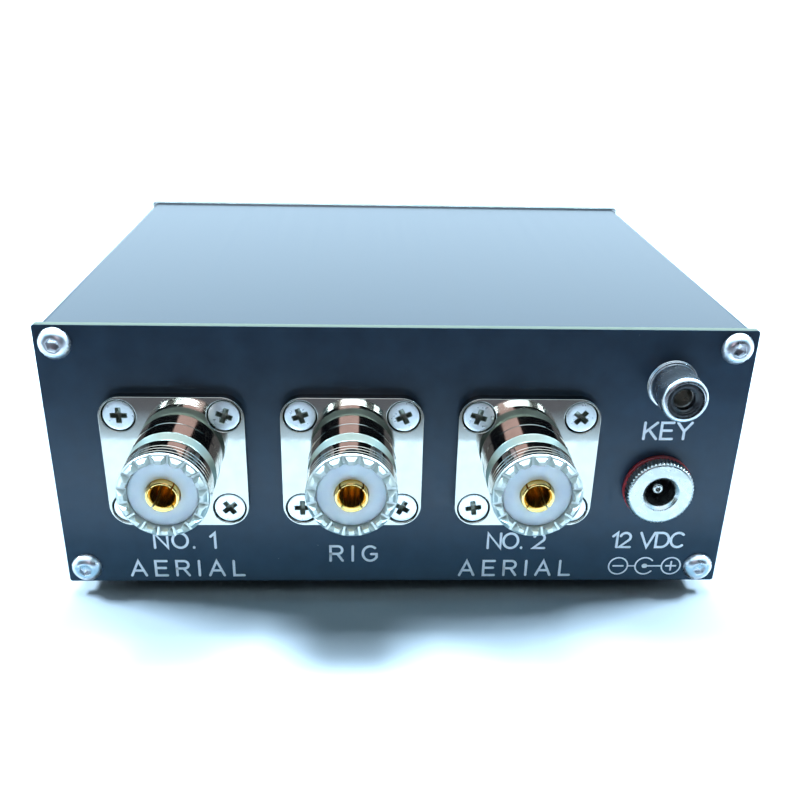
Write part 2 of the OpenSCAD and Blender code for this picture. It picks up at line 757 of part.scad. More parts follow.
module power_switch_lever() {
    color([0.8, 0.8, 0.79]) on_front(switch_x, switch_z)
        translate([0, 0, lever_pivot]) rotate([lever_tilt, 0, 0]) union() {
            sphere(r = lever_ball_r);
            translate([0, 0, -7.5]) cylinder(r = 0.9, h = 7.5);
            cylinder(r1 = 1.05, r2 = 1.45, h = lever_len - 1.45);
            translate([0, 0, lever_len - 1.45]) sphere(r = 1.45);
        }
}

module power_switch_nut() {
    color([0.75, 0.76, 0.78]) on_front(switch_x, switch_z)
        hex_nut(8, switch_bushing_r + slip, 1.8);
}

module power_lamp() {
    color([0.3, 0.75, 0.3]) on_front(switch_x, lamp_z) {
        translate([0, 0, -4]) cylinder(r = lamp_r, h = 5.2);
        translate([0, 0, 1.2]) sphere(r = lamp_r);
        translate([0, 0, -4.8]) cylinder(r = 1.9, h = 0.8 + eps);
        for (s = [-1, 1]) translate([s * lamp_lead_pitch / 2, 0, -4.8]) rotate([0, 180, 0])
            bent_wire(lamp_lead_run, lead_drop(lamp_z, 1), 1, 0.3);
    }
}

module power_lamp_holder() {
    color([0.75, 0.76, 0.78]) on_front(switch_x, lamp_z) rotate_extrude() polygon([
        [lamp_r + 0.03, -3.8], [lamp_holder_r, -3.8], [lamp_holder_r, 0], [3.6, 0], [3.6, 0.4], [2.6, 1.1],
        [lamp_r + 0.4, 1.1], [lamp_r + 0.03, 0.6]]);
}

// ---------------------------------------------------------------- board and its parts

module main_board() {
    color([0.1, 0.35, 0.2])
        translate([-board_w / 2, board_y0, board_base]) cube([board_w, board_y1 - board_y0, board_t]);
}

module on_board(x, y) translate([x, y, board_top]) children();

module bypass_relays() {
    color([0.15, 0.3, 0.6])
        for (p = relay_at) on_board(p[0], p[1]) translate([0, 0, relay_size[2] / 2])
            cube(relay_size, center = true);
}

module toroid_cores() {
    color([0.75, 0.2, 0.15])
        for (p = core_at) on_board(p[0], p[1]) translate([0, 0, core_lift - core_h / 2])
            tube(core_out, core_in, core_h);
}

// Each turn of wire is a ring round the core's section; one side of the core stays bare
module toroid_windings() {
    color([0.72, 0.4, 0.2])
        for (p = core_at) on_board(p[0], p[1]) translate([0, 0, core_lift]) {
            for (i = [0 : core_turns - 1]) rotate([0, 0, turn_angle * i])
                translate([(core_in + core_out) / 2, 0, 0]) rotate([90, 0, 0])
                    rotate_extrude() translate([turn_r, 0]) circle(r = turn_wire_r, $fn = 16);
        }
}

module capacitors() {
    color([0.12, 0.14, 0.3])
        for (c = can_at) on_board(c[0], c[1]) cylinder(r = c[2], h = c[3]);
}

module transistors() {
    color([0.12, 0.12, 0.12])
        for (p = transistor_at) on_board(p[0], p[1]) {
            translate([0, 0, transistor_lift]) intersection() {
                cylinder(r = transistor_r, h = transistor_h);
                translate([-3, -1.4, 0]) cube([6, 5, transistor_h]);
            }
            for (dx = [-pin_pitch, 0, pin_pitch]) translate([dx, 0, 0])
                cylinder(r = 0.25, h = transistor_lift + eps, $fn = 16);
        }
}

module regulator() {
    color([0.6, 0.6, 0.62]) on_board(47, 12) {
        translate([-5, -2, 4]) cube([10, 4, 9]);
        difference() {
            translate([-5, 0.7, 12.9]) cube([10, 1.3, 6.5]);
            translate([0, 5, 16.3]) rotate([90, 0, 0]) cylinder(r = 1.9, h = 10);
        }
        for (dx = [-2, 0, 2]) translate([dx * pin_pitch - 0.4, -0.3, 0]) cube([0.8, 0.6, 4 + eps]);
    }
}

module surge_arresters() {
    color([0.85, 0.8, 0.85])
        for (x = [socket_x[0] - 3, socket_x[2] + 1]) on_board(x, rear_in + 20)
            translate([0, 0, arrester_r]) rotate([90, 0, 0])
                cylinder(r = arrester_r, h = arrester_len, center = true);
}

// Leads from the sockets and jacks down to the board
module hookup_wires() {
    color([0.85, 0.85, 0.8]) {
        for (x = socket_x) wire_down(x, socket_z, contact_tail + cup_depth, 6, 0.8);
        wire_down(jack_x, phono_z, phono_tail + cup_depth, 10, 0.7);
        wire_down(jack_x, power_z, power_tail, 2, 0.55);
        for (lug = [[-switch_lug_pitch, 1], [0, 5]])
            on_front(switch_x, switch_z + lug[0]) translate([0, 0, switch_tail])
                rotate([0, 180, 0]) bent_wire(lug[1], lead_drop(switch_z + lug[0]), 1.5, 0.55);
    }
}

// Straight drop of a bent lead that starts at height z above the panel's lower edge
function lead_drop(z, bend_r = 1.5) = panel_z + z - board_top - bend_r;

// A lead that leaves a rear connector's tail inwards and bends down to the board
module wire_down(x, z, tail, run, r) {
    bend_r = 2.2;
    on_rear(x, z) translate([0, 0, tail]) rotate([0, 180, 0])
        bent_wire(run, lead_drop(z, bend_r), bend_r, r);
}

// ---------------------------------------------------------------- output

lower_shell();
upper_shell();
rear_panel();
front_panel();
rear_panel_screws();
front_panel_screws();
rubber_feet();
antenna_1_socket_shell();
antenna_1_socket_insulator();
antenna_1_socket_contact();
radio_socket_shell();
radio_socket_insulator();
radio_socket_contact();
antenna_2_socket_shell();
antenna_2_socket_insulator();
antenna_2_socket_contact();
socket_screws();
socket_washers();
socket_nuts();
socket_ground_tags();
phono_jack_sleeve();
phono_jack_insulator();
phono_jack_contact();
phono_jack_nut();
phono_jack_ground_tag();
power_jack_shell();
power_jack_washer();
power_jack_nut();
power_jack_insulator();
power_jack_pin();
power_jack_terminals();
gain_1_pot();
gain_1_shaft();
gain_1_knob();
gain_1_knob_screw();
phase_pot();
phase_shaft();
phase_knob();
phase_knob_screw();
gain_2_pot();
gain_2_shaft();
gain_2_knob();
gain_2_knob_screw();
pot_washers();
pot_nuts();
power_switch_body();
power_switch_lever();
power_switch_nut();
power_lamp();
power_lamp_holder();
main_board();
bypass_relays();
toroid_cores();
toroid_windings();
capacitors();
transistors();
regulator();
hookup_wires();
surge_arresters();
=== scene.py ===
"""Looks of the two-aerial tuner box: every visible piece is built here on the CAD frame, in metres.

Profiles are in millimetres, as (radius, height) pairs with the height counted outwards from a
panel's outer face. One placing function per panel turns them into the row frame.
"""

import math

import bmesh
import bpy
from mathutils import Matrix, Vector


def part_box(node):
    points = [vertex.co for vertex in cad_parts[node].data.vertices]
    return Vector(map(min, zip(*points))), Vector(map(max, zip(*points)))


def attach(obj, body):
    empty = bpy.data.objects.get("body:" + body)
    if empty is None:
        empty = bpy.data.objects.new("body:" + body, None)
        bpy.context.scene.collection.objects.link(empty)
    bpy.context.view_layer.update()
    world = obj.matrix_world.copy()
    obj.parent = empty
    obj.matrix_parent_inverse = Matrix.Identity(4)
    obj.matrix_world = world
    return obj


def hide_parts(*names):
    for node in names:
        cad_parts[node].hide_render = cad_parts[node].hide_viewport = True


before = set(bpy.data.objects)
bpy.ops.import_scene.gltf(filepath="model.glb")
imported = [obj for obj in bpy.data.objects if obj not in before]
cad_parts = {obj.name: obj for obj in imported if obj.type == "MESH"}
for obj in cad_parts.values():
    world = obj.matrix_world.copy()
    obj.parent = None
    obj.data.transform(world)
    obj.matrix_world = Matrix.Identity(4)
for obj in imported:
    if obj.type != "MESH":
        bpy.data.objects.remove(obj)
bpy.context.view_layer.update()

MM = 0.001
TAU = 2 * math.pi


def link(obj):
    bpy.context.scene.collection.objects.link(obj)


# -------- places on the frame

def middle(node):
    lo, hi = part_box(node)
    return (lo + hi) / 2 / MM


rear_lo, rear_hi = (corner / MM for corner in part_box("rear_panel"))
front_lo, front_hi = (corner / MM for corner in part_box("front_panel"))
REAR_Y = rear_lo.y
FRONT_Y = front_hi.y
PANEL_T = rear_hi.y - rear_lo.y
PANEL_W = rear_hi.x - rear_lo.x
PANEL_Z = rear_lo.z
PANEL_H = rear_hi.z - rear_lo.z


def on_rear(x, z):
    """Local (x, y, t) on the rear panel, t outwards, to the row frame."""
    return lambda p: ((x + p[0]) * MM, (REAR_Y - p[2]) * MM, (z + p[1]) * MM)


def on_front(x, z):
    """Local (x, y, t) on the front panel, t outwards, to the row frame."""
    return lambda p: ((x - p[0]) * MM, (FRONT_Y + p[2]) * MM, (z + p[1]) * MM)


def turned(angle, place):
    """place, with the local shape first turned about its own axis."""
    c, s = math.cos(angle), math.sin(angle)
    return lambda p: place((c * p[0] - s * p[1], s * p[0] + c * p[1], p[2]))


def shifted(dx, dy, place, dt=0):
    return lambda p: place((p[0] + dx, p[1] + dy, p[2] + dt))


# -------- shape building

class Shape:
    """Collects faces, then becomes one object that rides on a CAD body. In make, sharp is the bend
    in degrees that stays a hard edge, flats names the axes whose flat faces keep their outline,
    and inner_y is a board's inner face, which takes the fourth material as its rim does the
    third."""

    def __init__(self):
        self.verts, self.faces, self.mats = [], [], []

    def add(self, verts, faces, place, mat=0):
        base = len(self.verts)
        self.verts += [place(v) for v in verts]
        self.faces += [tuple(base + i for i in f) for f in faces]
        self.mats += [mat] * len(faces)

    def make(self, name, body, materials, replaces=(), sharp=32, inner_y=None,
             flats="y"):
        mesh = bpy.data.meshes.new(name)
        mesh.from_pydata(self.verts, [], self.faces)
        for m in materials:
            mesh.materials.append(m)
        mesh.polygons.foreach_set("material_index", self.mats)
        bm = bmesh.new()
        bm.from_mesh(mesh)
        bmesh.ops.remove_doubles(bm, verts=bm.verts, dist=2e-7)
        bmesh.ops.dissolve_degenerate(bm, edges=bm.edges, dist=1e-7)
        bmesh.ops.recalc_face_normals(bm, faces=bm.faces)
        if inner_y is not None:
            for f in bm.faces:
                if f.material_index == 0 and abs(f.normal.y) < 0.35:
                    f.material_index = 2
                elif abs(f.calc_center_median().y - inner_y * MM) < 0.05 * MM:
                    f.material_index = 3
        for f in bm.faces:
            f.smooth = True
            f.tag = max(abs(getattr(f.normal, axis)) for axis in flats) > 0.99998
        for e in bm.edges:
            if len(e.link_faces) == 2:
                bend = math.degrees(e.calc_face_angle(0))
                e.smooth = not (bend > sharp
                                or bend > 5 and e.link_faces[0].tag != e.link_faces[1].tag)
        bm.to_mesh(mesh)
        bm.free()
        obj = bpy.data.objects.new(name, mesh)
        link(obj)
        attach(obj, body)
        if replaces:
            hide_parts(*replaces)


def even_angles(n):
    return [TAU * i / n for i in range(n)]


def turned_piece(name, profile, sides, place, finish, node, closed=True, sharp=32):
    """One piece of the case that is turned from a single profile."""
    shape = Shape()
    shape.add(*loft(profile, even_angles(sides), closed), place)
    shape.make(name, "case", [finish], [node], sharp)


def loft(profile, angles, closed=False):
    """Vertices and faces of a turned shape. Each profile point is (radius, height), and either
    may be a function of the angle. A radius of 0 is a single point on the axis."""
    verts, rings = [], []
    n = len(angles)
    for r, t in profile:
        if r == 0:
            rings.append([len(verts)] * n)
            verts.append((0, 0, t(0) if callable(t) else t))
            continue
        rings.append(list(range(len(verts), len(verts) + n)))
        for a in angles:
            radius = r(a) if callable(r) else r
            verts.append((radius * math.cos(a), radius * math.sin(a), t(a) if callable(t) else t))
    faces = []
    pairs = list(zip(rings, rings[1:])) + ([(rings[-1], rings[0])] if closed else [])
    for low, high in pairs:
        for j in range(n):
            k = (j + 1) % n
            face = []
            for i in (low[j], low[k], high[k], high[j]):
                if i not in face:
                    face.append(i)
            if len(face) > 2:
                faces.append(tuple(face))
    return verts, faces


def wedge(outline, a0, a1, steps):
    """A closed (radius, height) outline swept from angle a0 to a1, with both ends capped."""
    verts, n = [], len(outline)
    for i in range(steps + 1):
        a = a0 + (a1 - a0) * i / steps
        verts += [(r * math.cos(a), r * math.sin(a), t) for r, t in outline]
    faces = [
        (i * n + j, i * n + (j + 1) % n, (i + 1) * n + (j + 1) % n, (i + 1) * n + j)
        for i in range(steps)
        for j in range(n)
    ]
    faces += [tuple(range(n)), tuple(range(steps * n, steps * n + n))]
    return verts, faces


def circle(x, y, r, n=48):
    return [(x + r * math.cos(a), y + r * math.sin(a)) for a in even_angles(n)]


def rounded_box(w, h, r, n=8):
    """Loop of a rectangle with rounded corners, about the origin."""
    points = []
    for i, (sx, sy) in enumerate(((1, 1), (-1, 1), (-1, -1), (1, -1))):
        for k in range(n + 1):
            a = (i + k / n) * math.pi / 2
            points.append((sx * (w / 2 - r) + r * math.cos(a), sy * (h / 2 - r) + r * math.sin(a)))
    return points


def inset(loop, d):
    """The loop moved by d towards its own inside, with mitred corners."""
    area = sum(a[0] * b[1] - b[0] * a[1] for a, b in zip(loop, loop[1:] + loop[:1]))
    side = 1 if area > 0 else -1
    out, n = [], len(loop)
    for i in range(n):
        p, q, s = Vector(loop[i - 1]), Vector(loop[i]), Vector(loop[(i + 1) % n])
        e, f = (q - p).normalized(), (s - q).normalized()
        m = Vector((-e.y - f.y, e.x + f.x)) * side
        cos_half = max(0.35, m.length / 2)
        out.append(tuple(q + m.normalized() * d / cos_half))
    return out


def plate(outer, holes, t0, t1, bevel, steps=2):
    """Vertices and faces of a flat plate with rounded edges, from t0 to t1."""
    curve = bpy.data.curves.new("outline", "CURVE")
    curve.dimensions = "2D"
    curve.fill_mode = "BOTH"
    curve.extrude = (t1 - t0) / 2 - bevel
    curve.bevel_depth = bevel
    curve.bevel_resolution = steps
    for loop in [inset(outer, bevel)] + [inset(h, -bevel) for h in holes]:
        spline = curve.splines.new("POLY")
        spline.points.add(len(loop) - 1)
        for point, (x, y) in zip(spline.points, loop):
            point.co = (x, y, 0, 1)
        spline.use_cyclic_u = True
    obj = bpy.data.objects.new("outline", curve)
    link(obj)
    mesh = bpy.data.meshes.new_from_object(
        obj.evaluated_get(bpy.context.evaluated_depsgraph_get()))
    mid = (t0 + t1) / 2
    verts = [(v.co.x, v.co.y, v.co.z + mid) for v in mesh.vertices]
    faces = [tuple(p.vertices) for p in mesh.polygons]
    bpy.data.objects.remove(obj)
    bpy.data.curves.remove(curve)
    bpy.data.meshes.remove(mesh)
    return verts, faces


def hexagon(af, turn=0.0):
    """Radius of a hexagon of that width across flats, as a function of the angle."""
    def radius(a):
        part = (a - turn) % (math.pi / 3) - math.pi / 6
        return af / 2 / math.cos(part)
    return radius


def cross(length, width):
    """Radius of a plus sign of that half length and half width, as a function of the angle."""
    def radius(a):
        part = abs((a + math.pi / 4) % (math.pi / 2) - math.pi / 4)
        edge = math.atan2(width, length)
        return length / math.cos(part) if part <= edge else width / math.sin(part)
    return radius


# -------- materials

def set_inputs(node, values):
    for name, value in values.items():
        node.inputs[name].default_value = value


def noise(nodes, links, coords, scale, detail=3.0, stretch=(1, 1, 1), kind="ShaderNodeTexNoise"):
    mapping = nodes.new("ShaderNodeMapping")
    mapping.inputs["Scale"].default_value = stretch
    links.new(coords, mapping.inputs["Vector"])
    texture = nodes.new(kind)
    texture.inputs["Scale"].default_value = scale
    if kind == "ShaderNodeTexNoise":
        texture.inputs["Detail"].default_value = detail
    links.new(mapping.outputs["Vector"], texture.inputs["Vector"])
    return texture


def spread(nodes, links, value, low, high, frm=(0.3, 0.7)):
    """value, mapped from the range frm onto low to high."""
    node = nodes.new("ShaderNodeMapRange")
    set_inputs(node, {"From Min": frm[0], "From Max": frm[1], "To Min": low, "To Max": high})
    links.new(value, node.inputs["Value"])
    return node.outputs["Result"]


def material(name, color, rough, metallic=0.0, tint=None, mottle=(400, 0.5), stretch=(1, 1, 1),
             grain=(3000, 0.1, 0.02), rough_var=0.05, ior=1.5, specks=None, rings=None,
             coat=0.0, subsurface=0.0, transmission=0.0):
    """Procedural finish. color and tint are mixed by slow noise, roughness varies with it, grain
    is (scale, strength, depth in mm) of the fine bump, specks (scale, size, colour) adds dust or
    pits, rings (x, y, z, scale, strength) adds turning marks about an axis along Y."""
    mat = bpy.data.materials.new(name)
    mat.use_nodes = True
    nodes, links = mat.node_tree.nodes, mat.node_tree.links
    shader = nodes["Principled BSDF"]
    coords = nodes.new("ShaderNodeTexCoord").outputs["Object"]
    slow = noise(nodes, links, coords, mottle[0], 4.0, stretch)
    mix = nodes.new("ShaderNodeMix")
    mix.data_type = "RGBA"
    set_inputs(mix, {"A": (*color, 1), "B": (*(tint or [c * 0.8 for c in color]), 1)})
    links.new(spread(nodes, links, slow.outputs["Fac"], 0.0, mottle[1]), mix.inputs["Factor"])
    result = mix.outputs["Result"]
    if specks:
        scale, size, speck_color = specks
        cells = noise(nodes, links, coords, scale, kind="ShaderNodeTexVoronoi")
        dots = spread(nodes, links, cells.outputs["Distance"], 1.0, 0.0, (size * 0.7, size))
        over = nodes.new("ShaderNodeMix")
        over.data_type = "RGBA"
        over.inputs["B"].default_value = (*speck_color, 1)
        links.new(dots, over.inputs["Factor"])
        links.new(result, over.inputs["A"])
        result = over.outputs["Result"]
    links.new(result, shader.inputs["Base Color"])
    links.new(spread(nodes, links, slow.outputs["Fac"], max(0.02, rough - rough_var),
                     rough + rough_var), shader.inputs["Roughness"])
    fine = noise(nodes, links, coords, grain[0], 5.0, stretch)
    bump = nodes.new("ShaderNodeBump")
    set_inputs(bump, {"Strength": grain[1], "Distance": grain[2] * MM})
    links.new(fine.outputs["Fac"], bump.inputs["Height"])
    normal = bump.outputs["Normal"]
    if rings:
        x, y, z, scale, strength = rings
        mapping = nodes.new("ShaderNodeMapping")
        mapping.inputs["Location"].default_value = (-x, -y, -z)
        links.new(coords, mapping.inputs["Vector"])
        wave = nodes.new("ShaderNodeTexWave")
        wave.wave_type = "RINGS"
        wave.rings_direction = "Y"
        set_inputs(wave, {"Scale": scale, "Distortion": 0.4})
        links.new(mapping.outputs["Vector"], wave.inputs["Vector"])
        turned_bump = nodes.new("ShaderNodeBump")
        set_inputs(turned_bump, {"Strength": strength, "Distance": 0.01 * MM})
        links.new(wave.outputs["Fac"], turned_bump.inputs["Height"])
        links.new(normal, turned_bump.inputs["Normal"])
        normal = turned_bump.outputs["Normal"]
    links.new(normal, shader.inputs["Normal"])
    set_inputs(shader, {"Metallic": metallic, "IOR": ior, "Coat Weight": coat,
                        "Coat Roughness": 0.08, "Transmission Weight": transmission})
    if subsurface:
        set_inputs(shader, {"Subsurface Weight": subsurface, "Subsurface Radius": (0.6, 0.8, 1.0),
                            "Subsurface Scale": 1.5 * MM})
    return mat


power_at = middle("power_jack_shell")

CASE = material("anodised case", (0.018, 0.02, 0.024), 0.25, tint=(0.021, 0.024, 0.029),
                mottle=(420, 1.0), stretch=(1, 0.02, 1), grain=(2600, 0.05, 0.002), rough_var=0.006)
MASK = material("solder mask", (0.009, 0.029, 0.056), 0.34, tint=(0.012, 0.037, 0.07), ior=1.42,
                mottle=(220, 1.0), grain=(1800, 0.22, 0.01), specks=(150, 0.012, (0.25, 0.3, 0.34)))
PLATED = material("plated copper", (0.78, 0.78, 0.76), 0.4, 1.0, (0.68, 0.68, 0.66),
                  mottle=(300, 0.8), grain=(1500, 0.2, 0.01))
LAMINATE = material("laminate edge", (0.11, 0.12, 0.07), 0.5, tint=(0.07, 0.08, 0.045),
                    mottle=(1500, 1.0), stretch=(0.2, 4, 0.2), grain=(4000, 0.3, 0.02))
INK = material("white ink", (0.93, 0.94, 0.95), 0.5, tint=(0.85, 0.87, 0.89), mottle=(1800, 0.8),
               grain=(3500, 0.3, 0.01))
PLATING = dict(mottle=(350, 0.8), grain=(900, 0.13, 0.016), rough_var=0.03,
               specks=(900, 0.06, (0.36, 0.34, 0.3)))
NICKEL = material("nickel", (0.66, 0.60, 0.52), 0.065, 1.0, (0.58, 0.525, 0.45), **PLATING)
# A darker copy of the barrel's nickel for the flange and its countersinks: painted shade on the
# same plating.
FLANGE_SHADED_NICKEL = material("flange nickel, painted darker", (0.5, 0.48, 0.43), 0.07, 1.0, (0.43, 0.41, 0.36),
                         **PLATING)
CASTING = dict(mottle=(500, 0.8), grain=(1500, 0.3, 0.02))
CAST_NICKEL = material("cast nickel", (0.52, 0.54, 0.5), 0.36, 1.0, (0.45, 0.47, 0.43), **CASTING)
# A darker copy of the cast nickel, painted shade for the barrel's relief groove and the socket
# screws' cross recesses.
RECESS_SHADE_NICKEL = material("nickel with painted recess shade", (0.3, 0.32, 0.27), 0.34, 1.0, (0.25, 0.27, 0.22),
                         **CASTING)
DARK_NICKEL = material("dark nickel", (0.56, 0.57, 0.58), 0.26, 1.0, (0.46, 0.47, 0.48),
                       mottle=(500, 0.7), grain=(1200, 0.15, 0.01), rough_var=0.03)
SATIN = material("satin nickel", (0.5, 0.5, 0.47), 0.28, 1.0, (0.43, 0.43, 0.4),
                 mottle=(500, 0.7), grain=(2500, 0.2, 0.01),
                 rings=(power_at.x * MM, 0, power_at.z * MM, 1300, 0.25))
STAINLESS = material("stainless screw", (0.74, 0.74, 0.76), 0.3, 1.0, (0.64, 0.64, 0.67),
                     mottle=(700, 0.8), grain=(2200, 0.2, 0.01))
ZINC = material("zinc screw", (0.74, 0.75, 0.74), 0.3, 1.0, (0.64, 0.66, 0.66),
                mottle=(600, 0.8), grain=(1500, 0.15, 0.008), rough_var=0.05)
PTFE = material("white insulator", (0.92, 0.96, 1.0), 0.42, tint=(0.79, 0.85, 0.93),
                mottle=(300, 0.8), grain=(1500, 0.15, 0.01), subsurface=0.3)
GILT = material("gilt contact", (0.95, 0.68, 0.24), 0.2, 1.0, (0.86, 0.58, 0.18),
                mottle=(700, 0.8), grain=(2200, 0.15, 0.008))
TINNED = material("tinned brass", (0.7, 0.69, 0.64), 0.3, 1.0, (0.58, 0.56, 0.5))
BLACK = material("black plastic", (0.012, 0.013, 0.016), 0.28, tint=(0.022, 0.023, 0.028),
                 mottle=(500, 1.0), grain=(1500, 0.2, 0.012))
RED_FIBRE = material("red washer", (0.55, 0.03, 0.035), 0.42, tint=(0.42, 0.02, 0.03),
                     mottle=(900, 1.0), grain=(2500, 0.4, 0.02))
POT_METAL = material("plated steel", (0.58, 0.59, 0.6), 0.32, 1.0, (0.48, 0.49, 0.5))
BRASS = material("shaft brass", (0.78, 0.62, 0.32), 0.24, 1.0, (0.66, 0.5, 0.24))
KNOB = material("knob plastic", (0.016, 0.017, 0.019), 0.4, tint=(0.026, 0.027, 0.03),
                mottle=(450, 1.0), grain=(2200, 0.45, 0.02))
GRUB = material("blackened steel", (0.1, 0.1, 0.11), 0.35, 1.0, (0.05, 0.05, 0.06))
BLUE_PLASTIC = material("switch plastic", (0.02, 0.05, 0.16), 0.4, tint=(0.03, 0.07, 0.2),
                        mottle=(500, 1.0), grain=(1500, 0.3, 0.02))
LENS = material("lamp lens", (0.05, 0.5, 0.12), 0.12, tint=(0.03, 0.4, 0.08), mottle=(600, 0.8),
                grain=(900, 0.05, 0.01), coat=0.5, transmission=0.35, subsurface=0.3)
BOARD = material("board mask", (0.01, 0.13, 0.05), 0.3, tint=(0.02, 0.22, 0.09), mottle=(180, 1.0),
                 grain=(700, 0.3, 0.02), specks=(220, 0.1, (0.6, 0.55, 0.35)))
RELAY = material("relay case", (0.03, 0.09, 0.3), 0.35, tint=(0.04, 0.12, 0.38), mottle=(200, 1.0),
                 grain=(1500, 0.2, 0.01))
CORE = material("painted core", (0.5, 0.05, 0.03), 0.42, tint=(0.4, 0.035, 0.02),
                mottle=(700, 1.0), grain=(1500, 0.4, 0.02))
COPPER = material("enamelled copper", (0.72, 0.3, 0.12), 0.22, 1.0, (0.6, 0.22, 0.08),
                  mottle=(900, 1.0), coat=0.6)
CAN = material("capacitor sleeve", (0.015, 0.02, 0.07), 0.3, tint=(0.03, 0.035, 0.1),
               mottle=(300, 1.0), grain=(900, 0.15, 0.02), coat=0.3)
EPOXY = material("black epoxy", (0.014, 0.014, 0.015), 0.5, tint=(0.03, 0.03, 0.03),
                 grain=(2500, 0.5, 0.02))
REGULATOR = material("regulator body", (0.03, 0.03, 0.032), 0.45, tint=(0.05, 0.05, 0.05),
                     grain=(2500, 0.5, 0.02))
WIRE = material("wire sleeve", (0.62, 0.6, 0.54), 0.4, tint=(0.5, 0.48, 0.42), mottle=(300, 1.0))
ARRESTER = material("white ceramic", (0.72, 0.68, 0.72), 0.3, tint=(0.6, 0.56, 0.6),
                    mottle=(500, 0.8), coat=0.3)
RUBBER = material("rubber", (0.02, 0.02, 0.021), 0.75, tint=(0.035, 0.035, 0.036),
                  mottle=(700, 1.0), grain=(1800, 0.6, 0.04))

# -------- case

SHELL_LEN = front_lo.y - rear_hi.y
SHELL_W = (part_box("lower_shell")[1].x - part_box("lower_shell")[0].x) / MM
SHELL_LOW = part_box("lower_shell")[0].z / MM
SHELL_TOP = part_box("upper_shell")[1].z / MM
MID_Z = (SHELL_LOW + SHELL_TOP) / 2
SHELL_H = SHELL_TOP - SHELL_LOW
WALL = 1.8


def shell_outline():
    """One half of the extruded case in cross-section, open upwards, with its parting line at 0."""
    w, h, r = SHELL_W / 2, SHELL_H / 2, 1.2
    arc = [(w - r + r * math.cos(a), -h + r + r * math.sin(a))
           for a in [-math.pi / 2 + math.pi / 2 * k / 6 for k in range(7)]]
    wx, floor, boss = w - WALL, -h + WALL, 7.2
    right = [(w, 0), (wx, 0), (wx, -8.7), (wx - 2, -8.7), (wx - 2, -9.7), (wx, -9.7),
             (wx, -11.5), (wx - 2, -11.5), (wx - 2, -12.5), (wx, -12.5), (wx, -h + boss - 1),
             (wx - 2.2, -h + boss - 1.6), (wx - 4.4, -h + 3), (wx - 4.6, floor)]
    outer = [(-x, y) for x, y in arc[::-1]] + arc
    return outer + right + [(-x, y) for x, y in right[::-1]]


def shell(name, flip):
    shape = Shape()
    verts, faces = plate(shell_outline(), [], 0, SHELL_LEN, 0.12)
    y0, side = rear_hi.y, -1 if flip else 1
    shape.add(verts, faces,
              lambda p: (side * p[0] * MM, (y0 + p[2]) * MM, (MID_Z + side * p[1]) * MM))
    shape.make(name + "_extrusion", "case", [CASE], [name], flats="xyz")


shell("lower_shell", False)
shell("upper_shell", True)

feet = Shape()
foot_lo, foot_hi = (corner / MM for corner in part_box("rubber_feet"))
foot_profile = [(0, 0.9), (1.6, 0.9), (1.7, 0.8), (1.9, 0.15), (2.1, 0.02), (4.1, 0), (4.5, 0.12),
                (4.62, 0.4), (5, 2.7), (4.95, 2.98), (0, 2.98)]
for fx in (foot_lo.x + 5, foot_hi.x - 5):
    for fy in (foot_lo.y + 5, foot_hi.y - 5):
        feet.add(*loft(foot_profile[::-1], even_angles(48)),
                 lambda p, x=fx, y=fy: ((x + p[0]) * MM, (y + p[1]) * MM, p[2] * MM))
feet.make("rubber_feet_moulded", "case", [RUBBER], ["rubber_feet"])

# -------- lettering

def arc(cx, cy, rx, ry, a0, a1, n=10):
    return [(cx + rx * math.cos(math.radians(a0 + (a1 - a0) * i / n)),
             cy + ry * math.sin(math.radians(a0 + (a1 - a0) * i / n))) for i in range(n + 1)]


